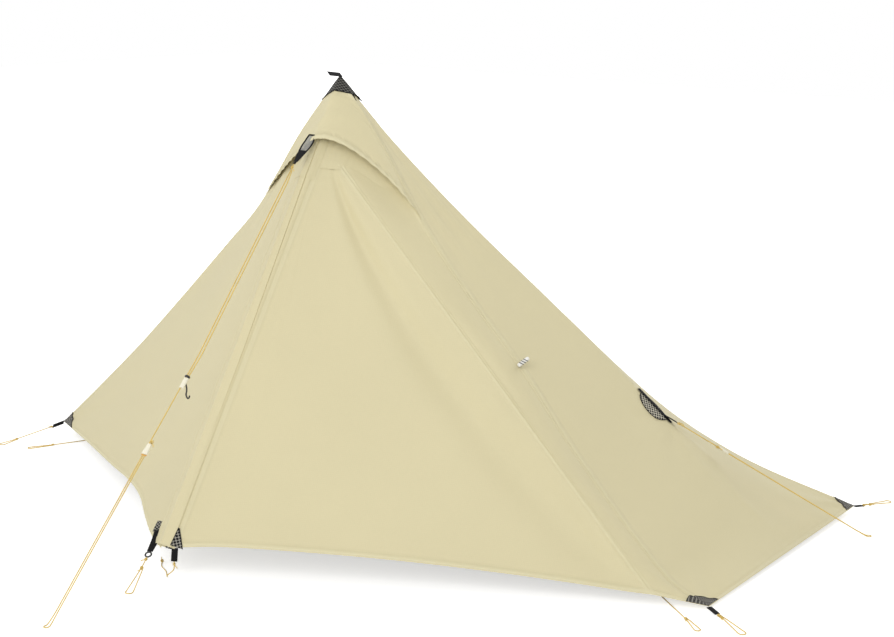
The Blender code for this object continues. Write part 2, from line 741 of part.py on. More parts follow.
def make_zip():
    band_right = ZIP_LINE - SLIDER_WIDTH / 2 - SLIDER_PLAY - 0.0008
    low = LAYER_GAP
    high = LAYER_GAP + TAPE
    band = [(-BAND_REACH, low), (0.0, low), (band_right, low)]
    band += [(a, high) for a, _ in reversed(band)]
    profile_run("zip_band", band, on_front, [ZIP_TOP, ZIP_END], "silnylon")
    profile_run("zip_chain_left", chain_outline(-1), on_right, [ZIP_TOP, ZIP_END], "zip_black")
    parked = ZIP_TOP + 0.002
    chain_top = parked + SLIDER_LENGTH + 0.002
    profile_run("zip_chain_right", chain_outline(1), on_right, [chain_top, ZIP_END], "zip_black")
    plate = BEAD_TOP + SLIDER_PLAY
    floor = -TAPE - BEAD_TOP - SLIDER_PLAY
    wide = SLIDER_WIDTH / 2
    post = ZIP_GAP / 4
    side = [(wide, floor - SLIDER_PLATE), (wide, floor), (post, floor), (post, plate),
            (wide, plate), (wide, plate + SLIDER_PLATE)]
    outline = [(ZIP_LINE + a, h) for a, h in side]
    outline += [(ZIP_LINE - a, h) for a, h in reversed(side)]
    slider = profile_run("zip_slider", outline, on_right, [parked, parked + SLIDER_LENGTH],
                         "zip_black")
    middle = ZIP_LINE - SLIDER_WIDTH / 2 + 0.0024
    arch_start = parked + SLIDER_LENGTH - ARCH_LENGTH - 0.001
    top = plate + SLIDER_PLATE
    leg = 0.0018
    shape = [(0.0, -0.0005), (0.0, ARCH_HEIGHT), (ARCH_LENGTH, ARCH_HEIGHT),
             (ARCH_LENGTH, -0.0005), (ARCH_LENGTH - leg, -0.0005),
             (ARCH_LENGTH - leg, ARCH_HEIGHT - 0.0012), (leg, ARCH_HEIGHT - 0.0012),
             (leg, -0.0005)]

    def across_arch(d, a, h):
        return on_right(a, arch_start + d, top + h)

    arch = profile_run("slider_arch", shape, across_arch,
                       [middle - ARCH_WIDTH / 2, middle + ARCH_WIDTH / 2], "zip_black")
    join_to(slider, arch)
    set_origin(slider, on_right(ZIP_LINE, parked, 0.0))
    strip_place = ARCH_LENGTH / 2
    pivot = on_right(middle, arch_start + strip_place, top + (ARCH_HEIGHT - 0.0012) / 2)
    turn = Matrix((DOWN, RIGHT_NORMAL.cross(DOWN), RIGHT_NORMAL)).transposed().to_4x4()
    turn = Matrix.Translation(pivot) @ turn
    strip = 0.0011
    pull = block("zip_pull", (PULL_LENGTH, PULL_WIDTH, PULL_PLATE), "zip_black", turn,
                 bevel=0.0002, centre=(PULL_LENGTH / 2 - strip / 2, 0.0, 0.0))
    hole = block("pull_hole", (0.0048, PULL_WIDTH - 0.0018, 0.01), "zip_black", turn,
                 centre=(strip / 2 + 0.0024, 0.0, 0.0))
    cut(pull, hole)
    seam = DOOR_EDGE + 0.0007
    step = FABRIC * 0.83
    under = [(seam + FLAP_SEAM, LAYER_GAP), (seam, LAYER_GAP), (ZIP_LINE + wide, FLAP_LIFT),
             (ZIP_LINE - wide - 0.002, FLAP_LIFT), (0.0, FLAP_LIFT - 0.0007),
             (-0.015, 0.0042), (-FLAP_REACH, 0.0027)]
    over = [(-FLAP_REACH, 0.0027 + step), (-0.015, 0.0042 + step), (0.0, FLAP_LIFT - 0.0007 + step),
            (ZIP_LINE - wide - 0.002, FLAP_LIFT + step), (ZIP_LINE + wide + 0.001, FLAP_LIFT + step),
            (seam + 0.0012, LAYER_GAP + step), (seam + FLAP_SEAM, LAYER_GAP + step)]
    flap = profile_run("storm_flap", under + over, on_front, [FLAP_TOP, FLAP_END], "silnylon")
    for thing in (flap, bpy.data.objects["zip_chain_right"], bpy.data.objects["door_panel"]):
        set_origin(thing, hinge_point(0.0))


def corner_patch(name, first, second, first_wide, second_wide, first_end, second_end, top, end,
                 low=LAYER_GAP):
    # A triangular patch over a corner: both panels' outer faces, round the ridge.
    shares = (1.0, 0.8, 0.6, 0.4, 0.2, 0.0)
    rows = []
    for v in spread(4):
        wide = 0.3 + 0.7 * v
        t_first = top[0] + (end - top[0]) * v
        t_second = top[1] + (end - top[1]) * v
        row = [first.at(abs(first_end - first_wide * wide * s), t_first) for s in shares]
        row += [second.at(abs(second_end - second_wide * wide * s), t_second)
                for s in reversed(shares[:-1])]
        rows.append(row)
    outer = [[lift(p, low + TAPE) for p in row] for row in rows]
    inner = [[lift(p, low) for p in row] for row in rows]
    return closed_sheet(name, outer, inner, "mesh_black")


def make_corners():
    top = 1.0 - PATCH_SHARE / 1.5
    door_top = 1.0 - (1.0 - top) / (1.0 - VENT_BOTTOM)
    end = 0.9985
    corner_patch("corner_patch_front_right", beside_cloth, foot_cloth, 0.4, 0.055, 1.0, 0.0,
                 (door_top, top), end, 0.0018)
    corner_patch("corner_patch_front_left", left_cloth, head_cloth, 0.04, 0.055, 0.0, 0.0,
                 (top, top), end)
    corner_patch("corner_patch_back_right", foot_cloth, back_cloth, 0.055, 0.023, 1.0, 0.0,
                 (top, top), end)
    corner_patch("corner_patch_back_left", head_cloth, back_cloth, 0.055, 0.023, 1.0, 1.0,
                 (top, top), end)
    pegs = {"front_right": PEG_FRONT_RIGHT, "front_left": PEG_FRONT_LEFT,
            "back_right": PEG_BACK, "back_left": mirrored(PEG_BACK)}
    for corner, peg in pegs.items():
        foot = CORNERS[corner][0]
        lead = (peg - foot).normalized()
        side = lead.cross(Vector((0.0, 0.0, 1.0))).normalized() * (WEBBING_WIDTH / 2)
        low = Vector((0.0, 0.0, -FABRIC * (1.4 if corner == "front_left" else 1.0)))
        start = foot + lead * SEWN + low
        end_place = foot + lead * (SEWN + STRAP_LENGTH) + low
        ribbon("corner_strap_" + corner, [start, start.lerp(end_place, 0.5), end_place], side)
        middle = Vector((0.0, 0.0, WEBBING / 2))
        cord("corner_cord_" + corner,
             pegged(end_place + lead * SEWN + middle, peg, KNOT_SHARES[corner]))


def pegged(start, peg, knot_share, loop_radius=0.01):
    # A taut cord to its knot, and from there the loop that the peg would hold on the ground.
    rest = peg + Vector((0.0, 0.0, CORD / 2 + 0.0002))
    run = rest - start
    knot = start + run * knot_share
    flat = Vector((run.x, run.y, 0.0)).normalized()
    side = Vector((-flat.y, flat.x, 0.0))
    route = [start, knot - run * (0.3 * knot_share), knot]
    for k in range(7):
        angle = math.radians(-105 + 210 * k / 6)
        across = side * (loop_radius * math.sin(angle))
        route.append(rest + flat * (loop_radius * math.cos(angle)) + across)
    back = side * (CORD + 0.0009)
    route += [knot + back * 1.3 + run * (0.06 * (1.0 - knot_share)), knot + back]
    return route


def make_guylines():
    upper = Vector((0.0, -0.618, 0.506))
    lower = Vector((0.0, -0.75, 0.362))
    run = (lower - upper).normalized()
    bend = upper - run * 0.085
    start = TAB_TIP + (bend - TAB_TIP).normalized() * SEWN + MIDDLE_NORMAL * (WEBBING / 2)
    after = lower + run * 0.05
    peg = PEG_GUY_FRONT + Vector((0.0, 0.0, CORD / 2 + 0.0002))
    side = Vector((STRAND_SPACING, 0.0, 0.0))
    home = (peg - after).normalized()
    near = peg - home * 0.03
    near.z = max(near.z, 0.006)
    back = [near + side, after + side, lower + side - run * (TENSIONER_LENGTH / 2 + 0.003)]
    route = [start, bend, after, near, peg + Vector((-0.002, -0.004, 0.0)),
             peg + Vector((0.001, -0.011, 0.0)), peg + Vector((0.0055, -0.011, 0.0)),
             peg + Vector((0.0085, -0.004, 0.0))] + back
    cord("guyline_front", route)
    half = Vector((STRAND_SPACING / 2, 0.0, 0.0))
    for name, place in (("tensioner_upper", upper), ("tensioner_lower", lower)):
        tensioner(name, place + half, run, Vector((1.0, 0.0, 0.0)))
    strap_start = foot_cloth.at(CREST_PLACE, PULLOUT_PLACE - 0.004)
    lead = (PEG_GUY_FOOT - strap_start).normalized()
    flat = lead.cross(Vector((0.0, 0.0, 1.0))).normalized()
    raised = lift(strap_start, 2 * LAYER_GAP + TAPE + 0.0006)
    loop_end = raised + lead * STRAP_LENGTH
    ribbon("pullout_strap_foot", [raised, raised.lerp(loop_end, 0.5), loop_end],
           flat * (WEBBING_WIDTH / 2))
    start = loop_end + lead * (2 * SEWN) + Vector((0.0, 0.0, WEBBING / 2))
    peg = PEG_GUY_FOOT + Vector((0.0, 0.0, CORD / 2 + 0.0002))
    run = (peg - start).normalized()
    flat = run.cross(Vector((0.0, 0.0, 1.0))).normalized()
    place = start + run * ((peg - start).length * TENSIONER_FOOT_SHARE)
    side = flat * STRAND_SPACING
    near = peg - run * 0.03
    near.z = max(near.z, 0.006)
    level = Vector((run.x, run.y, 0.0)).normalized()
    route = [start, near, peg - flat * 0.002 + level * 0.004, peg + flat * 0.001 + level * 0.011,
             peg + flat * 0.0055 + level * 0.011, peg + flat * 0.0085 + level * 0.004,
             near + side, place + side - run * (TENSIONER_LENGTH / 2 + 0.003)]
    cord("guyline_foot", route)
    tensioner("tensioner_foot", place + side * 0.5, run, flat)


def tensioner(name, place, run, flat):
    up = run.cross(flat)
    turn = Matrix.Translation(place) @ Matrix((run, flat, up)).transposed().to_4x4()
    rings = [rounded_outline(TENSIONER_WIDTH, TENSIONER_HEIGHT, 0.0025)]
    hole_radius = CORD / 2 + TENSIONER_PLAY
    for shift in (-0.5, 0.5):
        rings.append([(STRAND_SPACING * shift + hole_radius * math.cos(math.radians(30 * k)),
                       hole_radius * math.sin(math.radians(30 * k))) for k in range(12)])
    return drilled(name, rings, TENSIONER_LENGTH, "plastic_cream", turn)


def rounded_outline(wide, high, radius):
    outline = []
    for turn, x, y in ((0, 1, 1), (90, -1, 1), (180, -1, -1), (270, 1, -1)):
        for step in (0, 30, 60, 90):
            angle = math.radians(turn + step)
            outline.append((x * (wide / 2 - radius) + radius * math.cos(angle),
                            y * (high / 2 - radius) + radius * math.sin(angle)))
    return outline


def drilled(name, rings, length, slot, matrix):
    # A straight block along local X: the first ring is its outline, the others its holes.
    work = bmesh.new()
    ends = []
    for x in (-length / 2, length / 2):
        loops = [[work.verts.new((x, y, z)) for y, z in ring] for ring in rings]
        edges = [work.edges.new((loop[k], loop[(k + 1) % len(loop)]))
                 for loop in loops for k in range(len(loop))]
        bmesh.ops.triangle_fill(work, edges=edges, use_beauty=True)
        ends.append(loops)
    for low, high in zip(*ends):
        for k in range(len(low)):
            m = (k + 1) % len(low)
            work.faces.new((low[k], low[m], high[m], high[k]))
    bmesh.ops.recalc_face_normals(work, faces=work.faces)
    mesh = bpy.data.meshes.new(name)
    work.to_mesh(mesh)
    work.free()
    return add_object(name, mesh, slot, matrix)


def patch(name, cloth, across, along, slot="mesh_black"):
    rows = [[cloth.at(s, t) for s in across] for t in along]
    outer = [[lift(p, LAYER_GAP + TAPE) for p in row] for row in rows]
    inner = [[lift(p, LAYER_GAP) for p in row] for row in rows]
    return closed_sheet(name, outer, inner, slot)


def make_pullouts():
    columns = (0.45, 0.495, CREST_PLACE, 0.586, 0.632)
    rows = spread(3, PULLOUT_PLACE - PULLOUT_REACH, PULLOUT_PLACE)
    patch("pullout_patch_foot", foot_cloth, columns, rows)
    patch("pullout_patch_head", head_cloth, columns, rows)


def make_point():
    # The front point: a strap to the ring and its cord, and the door's patch and strap.
    side = LEFT_ACROSS * (WEBBING_WIDTH / 2)
    start = on_left(0.066, ZIP_END - 0.062, LAYER_GAP)
    hem = on_left(0.06, ZIP_END - 0.015, LAYER_GAP)
    ring_place = hem.lerp(PEG_POINT, 0.45)
    lead = (ring_place - hem).normalized()
    tube = 0.0013
    reach = 0.008 + tube + SEWN
    end = ring_place - lead * reach
    ribbon("point_strap_left", [start, hem, hem.lerp(end, 0.6), end], side)
    turn = frame_along(ring_place, ring_place + lead)
    profile = [(0.008 + tube * math.cos(a), tube * math.sin(a))
               for a in (math.radians(60 * k) for k in range(6))]
    turned("point_ring", profile, "plastic_black", 16, turn, closed=True)
    cord("point_cord", pegged(ring_place + lead * reach, PEG_POINT, KNOT_SHARES["point"]))
    low = [[on_right(0.0405 + w, ZIP_END - d, LAYER_GAP) for w in (0.0, 0.5 * k, k)]
           for d, k in ((0.064, 0.006), (0.047, 0.016), (0.03, 0.026), (0.016, 0.034))]
    high = [[p + RIGHT_NORMAL * TAPE for p in row] for row in low]
    mark = closed_sheet("point_patch_right", high, low, "mesh_black")
    hem_fall = (RIGHT_FOOT - POINT_FOOT).dot(DOWN) / SIDE_WIDTH
    start = on_right(0.05, RIDGE_LENGTH + hem_fall * 0.05 + SEWN, -FABRIC / 2)
    drop = Vector((0.0, -0.004, -0.036))
    strap = ribbon("point_strap_right", [start, start + drop * 0.5, start + drop],
                   Vector((WEBBING_WIDTH / 2, 0.004, 0.0)))
    top = start + drop * (1.0 + SEWN / drop.length)
    ground = CORD / 2 + 0.0003
    route = [top, top + Vector((0.001, -0.003, -0.02)), Vector((0.012, top.y - 0.008, 0.012)),
             Vector((0.0, -0.689, ground)), Vector((-0.03, -0.664, ground)),
             Vector((-0.062, -0.648, ground)), Vector((-0.087, -0.623, ground))]
    slack = cord("slack_cord", curve_through(route, 16))
    for thing in (mark, strap):
        set_origin(thing, hinge_point(0.0))
    slack.location = hinge_point(0.0)
    for knot in slack.data.splines[0].points:
        knot.co = (*(knot.co.xyz - hinge_point(0.0)), 1.0)


def make_tieback():
    v = TIEBACK_PLACE
    place = beside_cloth.at(TIEBACK_ACROSS, v)
    run = (hinge_point(1.0) - hinge_point(0.0)).normalized()
    away = RIGHT_NORMAL
    stand = 0.009
    base = place + away * 0.0011
    half = 0.0035
    route = [base - run * half, base - run * half + away * (stand - 0.0015),
             base - run * (half - 0.0015) + away * stand,
             base + run * (half - 0.0015) + away * stand,
             base + run * half + away * (stand - 0.0015), base + run * half]
    cord("tieback_loop", route, 0.0009, "webbing_black")
    pivot = base + away * stand
    along = Vector((0.0, 0.0, 1.0)) - run * run.z
    along = (along - away * along.dot(away) + away * 0.12).normalized()
    up = along.cross(run)
    turn = Matrix.Translation(pivot) @ Matrix((along, run, up)).transposed().to_4x4()
    bar = block("tieback_toggle", (TOGGLE_LENGTH, 0.0042, 0.0064), "plastic_black", turn,
                bevel=0.0012, centre=(TOGGLE_LENGTH / 2 - 0.0032, 0.0, 0.0))
    bore = turned("toggle_bore", [(0.0, -0.02), (0.0015, -0.02), (0.0015, 0.02), (0.0, 0.02)],
                  "plastic_black", 12, turn @ Matrix.Rotation(math.radians(90), 4, "X"))
    cut(bar, bore)


RIM_FRONT = FLOOR_FRONT
RIM_HALF = FLOOR_HALF_LENGTH - FLOOR_LEAN
RIM_BACK = FLOOR_BACK - FLOOR_LEAN
INNER_FEET = {
    "front_right": Vector((RIM_HALF, RIM_FRONT, FLOOR_WALL + FLOOR_SHEET)),
    "front_left": Vector((-RIM_HALF, RIM_FRONT, FLOOR_WALL + FLOOR_SHEET)),
    "back_right": Vector((RIM_HALF, RIM_BACK, FLOOR_WALL + FLOOR_SHEET)),
    "back_left": Vector((-RIM_HALF, RIM_BACK, FLOOR_WALL + FLOOR_SHEET)),
}


def inner_wall(first, second, first_drop, second_drop, slack):
    def surface(s, t):
        point = INNER_APEX.lerp(INNER_FEET[first].lerp(INNER_FEET[second], s), t)
        bow = 4.0 * s * (1.0 - s)
        drop = (first_drop * (1.0 - s) + second_drop * s) * (1.0 - slack * bow)
        point.z -= drop * 4.0 * t * (1.0 - t)
        return point

    return surface


def front_ridge_inner(t):
    point = INNER_APEX.lerp(INNER_FEET["front_right"], t)
    point.z -= INNER_DROP_FRONT * 4.0 * t * (1.0 - t)
    return point


def flat_piece(name, outline, slot, thickness, place):
    # A flat sheet of any outline: its front face is the outline, its back face is behind it.
    back = [p + Vector((0.0, thickness, 0.0)) for p in outline]
    mesh = bpy.data.meshes.new(name)
    work = bmesh.new()
    front_ring = [work.verts.new(p - place) for p in outline]
    back_ring = [work.verts.new(p - place) for p in back]
    work.faces.new(front_ring)
    work.faces.new(list(reversed(back_ring)))
    count = len(outline)
    for k in range(count):
        m = (k + 1) % count
        work.faces.new((front_ring[m], front_ring[k], back_ring[k], back_ring[m]))
    bmesh.ops.recalc_face_normals(work, faces=work.faces)
    bmesh.ops.triangulate(work, faces=work.faces)
    work.to_mesh(mesh)
    work.free()
    return add_object(name, mesh, slot, Matrix.Translation(place))


def on_inner_front(x, z):
    lean = (INNER_APEX.y - RIM_FRONT) / (INNER_APEX.z - FLOOR_WALL)
    return Vector((x, RIM_FRONT + lean * (z - FLOOR_WALL), z))


def make_inner():
    base = [(FLOOR_HALF_LENGTH, RIM_FRONT - FLOOR_LEAN), (FLOOR_HALF_LENGTH, FLOOR_BACK),
            (-FLOOR_HALF_LENGTH, FLOOR_BACK), (-FLOOR_HALF_LENGTH, RIM_FRONT - FLOOR_LEAN)]
    rim = [(RIM_HALF, RIM_FRONT), (RIM_HALF, RIM_BACK), (-RIM_HALF, RIM_BACK),
           (-RIM_HALF, RIM_FRONT)]
    rings = []
    wall = FLOOR_SHEET
    for outline, height, inset in ((base, 0.0, 0.0), (rim, FLOOR_WALL, 0.0),
                                   (rim, FLOOR_WALL, wall), (base, wall, wall)):
        middle = (RIM_FRONT + RIM_BACK) / 2
        rings.append([Vector((x - math.copysign(inset, x), y - math.copysign(inset, y - middle),
                              height)) for x, y in outline])
    points = [p for ring in rings for p in ring]
    faces = [(3, 2, 1, 0), (12, 13, 14, 15)]
    for i in range(3):
        for k in range(4):
            m = (k + 1) % 4
            faces.append((4 * i + k, 4 * i + m, 4 * i + 4 + m, 4 * i + 4 + k))
    add_object("inner_floor", mesh_from("inner_floor", points, faces), "floor_grey")
    rows = spread(8, 0.02, 1.0)
    back = Cloth(inner_wall("back_right", "back_left", INNER_DROP_BACK, INNER_DROP_BACK, 0.3),
                 spread(8), rows)
    foot = Cloth(inner_wall("front_right", "back_right", INNER_DROP_FRONT, INNER_DROP_BACK, 0.2),
                 spread(5), rows)
    head = Cloth(inner_wall("back_left", "front_left", INNER_DROP_BACK, INNER_DROP_FRONT, 0.2),
                 spread(5), rows)
    back.sheet("inner_back_wall", "mesh_black", MESH, edge=0.0006)
    foot.sheet("inner_foot_wall", "mesh_black", MESH, edge=0.0006)
    head.sheet("inner_head_wall", "mesh_black", MESH, edge=0.0006)
    ridge_right = [front_ridge_inner(t) for t in rows]
    door_top = on_inner_front(INNER_DOOR_TOP.x, INNER_DOOR_TOP.z)
    low = FLOOR_WALL + SEAM_GAP
    door_low = on_inner_front(0.035, low)
    hinge_low = on_inner_front(INNER_DOOR_FOOT, low + 0.012)
    right = [Vector((p.x - 0.0012, p.y - 0.0012, p.z - 0.0012)) for p in ridge_right]
    left = [mirrored(p) for p in right]
    gap = SEAM_GAP
    outline = list(left)
    outline += [door_low, door_top, hinge_low,
                on_inner_front(INNER_DOOR_FOOT + 0.012, low)]
    outline += list(reversed(right))
    flat_piece("inner_front_wall", outline, "mesh_black", -MESH, Vector((0.0, 0.0, 0.0)))
    door = [door_low + Vector((gap, 0.0, 0.0)), door_top + Vector((gap, 0.0, -gap * 3)),
            hinge_low + Vector((-gap * 2, 0.0, -gap)),
            on_inner_front(INNER_DOOR_FOOT - 0.012, low)]
    flat_piece("inner_door", door, "mesh_black", -MESH, door_top - Vector((0.0, MESH, 0.0)))
    under = -FABRIC - WEBBING - SEWN
    route = [lift(back.at(0.5, 0.09), SEWN), lift(back.at(0.5, 0.03), SEWN)]
    route += [lift(back_cloth.at(0.5, t), under) for t in (0.052, 0.034)]
    route.insert(2, route[1].lerp(route[2], 0.5))
    ribbon("inner_apex_strap", route, Vector((WEBBING_WIDTH / 2, 0.0, 0.0)))
    for name, peg in (("right", PEG_INNER_RIGHT), ("left", PEG_INNER_LEFT)):
        turn = 1.0 if name == "right" else -1.0
        start = Vector((turn * (FLOOR_HALF_LENGTH - SEWN), RIM_FRONT - FLOOR_LEAN + SEWN, 0.004))
        cord("inner_cord_front_" + name, pegged(start, peg, KNOT_SHARES["inner_" + name], 0.008))


def make_pole():
    lower = POLE_LOWER_RADIUS
    bore = lower + RUNNING / 2 + 0.0001
    turned("pole_foot", [(0.0, 0.0), (FOOT_RADIUS, 0.0), (FOOT_RADIUS, FOOT_HEIGHT),
                         (bore, FOOT_HEIGHT), (bore, FOOT_SOLE), (0.0, FOOT_SOLE)], "rubber", 24)
    inside = lower - POLE_WALL
    turned("pole_lower_tube", [(inside, FOOT_SOLE + 0.0003), (lower, FOOT_SOLE + 0.0003),
                               (lower, POLE_LOWER_TOP), (inside, POLE_LOWER_TOP)],
           "alloy", 24, closed=True)
    upper = POLE_UPPER_RADIUS
    bottom = POLE_LOWER_TOP - POLE_OVERLAP
    hollow = upper - POLE_WALL
    tip = POLE_PIN_RADIUS
    turned("pole_upper_tube", [(0.0, POLE_UPPER_TOP - 0.02), (hollow, POLE_UPPER_TOP - 0.02),
                               (hollow, bottom), (upper, bottom), (upper, POLE_UPPER_TOP),
                               (tip, POLE_UPPER_TOP + 0.003), (tip, POLE_PIN_TOP - 0.003),
                               (tip * 0.6, POLE_PIN_TOP), (0.0, POLE_PIN_TOP)], "alloy", 24)
    cup = tip + RUNNING * 2
    roof = APEX.z + CAP_TIP - WEBBING - 0.0014
    rim = roof - 1.65 * POCKET_RADIUS
    turned("pole_pocket", [(0.0, roof), (POCKET_RADIUS, rim), (POCKET_RADIUS, roof - POCKET_DROP),
                           (cup, roof - POCKET_DROP), (cup, POLE_PIN_TOP + 0.001),
                           (0.0, POLE_PIN_TOP + 0.001)], "webbing_black", 20)
    outer = lower + RUNNING / 2 + CLAMP_WALL
    foot = POLE_LOWER_TOP - CLAMP_HEIGHT * 0.7
    head = foot + CLAMP_HEIGHT
    neck = upper + RUNNING
    clamp = turned("pole_clamp", [(bore, foot), (outer, foot), (outer, head), (neck, head),
                                  (neck, POLE_LOWER_TOP + 0.0003), (bore, POLE_LOWER_TOP + 0.0003)],
                   "plastic_black", 28, closed=True)
    eye = 0.0036
    pivot_x = -(outer + eye + 0.0006)
    lug_start = pivot_x - eye
    lug_end = 0.0018 - outer
    lever_low = foot + 0.013
    lever_high = head - 0.013
    for number, (low, high) in enumerate(((foot + 0.007, lever_low - RUNNING),
                                          (lever_high + RUNNING, head - 0.007))):
        centre = Matrix.Translation(((lug_start + lug_end) / 2, 0.0, (low + high) / 2))
        lug = block(f"clamp_lug_{number}", (lug_end - lug_start, 2 * eye, high - low),
                    "plastic_black", centre)
        join_to(clamp, lug)
    pin = turned("clamp_pin", [(0.0, foot + 0.009), (LEVER_PIN_RADIUS, foot + 0.009),
                               (LEVER_PIN_RADIUS, head - 0.009), (0.0, head - 0.009)],
                 "plastic_black", 14, Matrix.Translation((pivot_x, 0.0, 0.0)))
    join_to(clamp, pin)
    pivot = Matrix.Translation((pivot_x, 0.0, 0.0))
    lever = turned("pole_lever", [(LEVER_PIN_RADIUS + RUNNING, lever_low), (eye, lever_low),
                                  (eye, lever_high), (LEVER_PIN_RADIUS + RUNNING, lever_high)],
                   "plastic_black", 18, pivot, closed=True)
    inner_arc = outer + 0.0008
    outer_arc = outer + 0.004
    outline = []
    for radius, angles in ((inner_arc, (190, 205, 220, 240, 260, 280)),
                           (outer_arc, (282, 260, 240, 220, 205, 190))):
        outline += [(radius * math.cos(math.radians(a)), radius * math.sin(math.radians(a)))
                    for a in angles]

    def rise(x, z, y):
        return Vector((x - pivot_x, y, z))

    arm = profile_run("lever_arm", outline, rise, [lever_low, lever_high], "plastic_black")
    arm.matrix_world = pivot
    join_to(lever, arm)


clear_scene()
make_panels()
make_vent()
make_hood()
make_cap()
make_zip()
make_corners()
make_guylines()
make_pullouts()
make_point()
make_tieback()
make_inner()
make_pole()
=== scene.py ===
"""Looks of the single-pole camping tent: fly, hood, zip, webbing, cords, inner tent and pole."""

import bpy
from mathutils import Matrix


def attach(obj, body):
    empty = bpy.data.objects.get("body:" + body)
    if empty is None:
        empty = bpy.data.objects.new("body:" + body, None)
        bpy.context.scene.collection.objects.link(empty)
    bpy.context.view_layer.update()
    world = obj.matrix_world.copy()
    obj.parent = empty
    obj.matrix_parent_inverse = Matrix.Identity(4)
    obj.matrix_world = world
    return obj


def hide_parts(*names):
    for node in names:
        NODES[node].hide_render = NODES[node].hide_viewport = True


bl_info = {
    "name": "Single-pole camping tent",
    "version": (1, 0, 0),
    "blender": (4, 5, 0),
    "location": "3D View > Sidebar > Tent",
    "description": "Builds the cloth, cords and fittings of a pitched one-person tent",
    "category": "Object",
}

import math

import bmesh
import bpy
import numpy as np
from bpy.props import FloatProperty, FloatVectorProperty, PointerProperty
from mathutils import Matrix, Vector

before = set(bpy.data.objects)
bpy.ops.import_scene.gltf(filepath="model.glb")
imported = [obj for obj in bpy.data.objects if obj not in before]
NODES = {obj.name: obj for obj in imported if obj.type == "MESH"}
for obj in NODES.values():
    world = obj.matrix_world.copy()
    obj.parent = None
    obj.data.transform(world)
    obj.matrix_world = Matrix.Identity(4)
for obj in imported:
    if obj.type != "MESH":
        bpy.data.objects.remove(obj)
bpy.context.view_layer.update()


# Sizes of the pitched tent in metres; a drop or bow is pairs of a place and its depth

APEX = Vector((0.0, 0.0, 1.247))
DROP_FRONT_RIGHT = ((0.0, 0.0), (0.12, 0.02), (0.25, 0.075), (0.4, 0.088), (0.52, 0.08),
                    (0.68, 0.1), (0.9, 0.078), (1.0, 0.0))
DROP_FRONT_LEFT = ((0.0, 0.0), (0.12, 0.02), (0.25, 0.077), (0.36, 0.077), (0.66, 0.059),
                   (0.84, 0.031), (0.92, 0.016), (1.0, 0.0))
DROP_BACK = ((0.0, 0.0), (0.25, 0.139), (0.5, 0.185), (0.75, 0.139), (1.0, 0.0))
DROP_CREST_FOOT = ((0.0, 0.0), (0.08, 0.018), (0.16, 0.025), (0.26, 0.025), (0.36, 0.018),
                   (0.46, 0.009), (0.56, 0.001), (0.72, 0.0), (0.88, 0.007), (1.0, 0.0))
HEM_BOW_LEFT = ((0.0, 0.0), (0.25, 0.016), (0.5, 0.029), (0.65, 0.038), (0.76, 0.034),
                (0.85, 0.013), (0.92, 0.001), (1.0, 0.0))
HEM_BOW_DOOR = ((0.0, 0.004), (0.1, 0.016), (0.3, 0.0225), (0.5, 0.023), (0.7, 0.017),
                (0.85, 0.009), (0.95, 0.002), (1.0, 0.0))
DROP_CREST_HEAD = ((0.0, 0.0), (0.36, 0.04), (0.72, 0.035), (1.0, 0.0))
CORNERS = {
    "front_right": (Vector((1.203, -0.002, 0.011)), DROP_FRONT_RIGHT),
    "front_left": (Vector((-1.179, -0.02, 0.04)), DROP_FRONT_LEFT),
    "back_right": (Vector((1.203, 0.912, 0.022)), DROP_BACK),
    "back_left": (Vector((-1.165, 0.91, 0.04)), DROP_BACK),
    "point": (Vector((0.0, -0.708, 0.0855)), ((0.0, 0.0), (1.0, 0.0))),
}
CREST = 0.54
PANEL_TOP = 0.03
VENT_BOTTOM = 0.1891
FACING_TOP = 0.12
HOOD_REACH = 0.238
HOOD_BRIM = Vector((0.0, -0.125, 1.078))
TAB_TIP = Vector((0.0, -0.191, 1.025))
ZIP_LINE = 0.0165
DOOR_EDGE = 0.0267
ZIP_TOP = 0.262
ZIP_END = 1.3546
FLAP_TOP = 0.3
FLAP_END = 1.351
FLAP_LEFT = 0.045
HINGE_TOP = Vector((0.07458, -0.09033, 1.02259))
HINGE_FOOT = Vector((1.0797, -0.0645, 0.0305))
PULLOUT_PLACE = 0.72
WEBBING_WIDTH = 0.015
STRAP_LENGTH = 0.04
CORD = 0.003
STRAND_SPACING = 0.0065
PEGS = {
    "front_right": Vector((1.33, -0.075, 0.0)),
    "front_left": Vector((-1.235, -0.23, 0.0)),
    "back_right": Vector((1.245, 1.07, 0.0)),
    "back_left": Vector((-1.245, 1.07, 0.0)),
    "point": Vector((0.0, -0.82, 0.0)),
    "inner_right": Vector((1.236, -0.125, 0.0)),
    "inner_left": Vector((-1.134, -0.2, 0.0)),
    "guy_front": Vector((0.0, -1.078, 0.0)),
    "guy_foot": Vector((1.304, 0.752, 0.0)),
}
KNOT_SHARES = {"front_right": 0.16, "front_left": 0.72, "back_right": 0.3, "back_left": 0.3,
               "point": 0.3, "inner_right": 0.76, "inner_left": 0.72}
INNER_APEX = Vector((0.0, 0.046, 1.09))
FLOOR_HALF = 1.02
FLOOR_FRONT = 0.035
FLOOR_BACK = 0.76
FLOOR_WALL = 0.09
FLOOR_LEAN = 0.02
FOLD = 0.0012
PATCH_CLOTH = 0.0006
RING_REACH = 0.0097
UP = Vector((0.0, 0.0, 1.0))
SIDEWAYS = Vector((1.0, 0.0, 0.0))


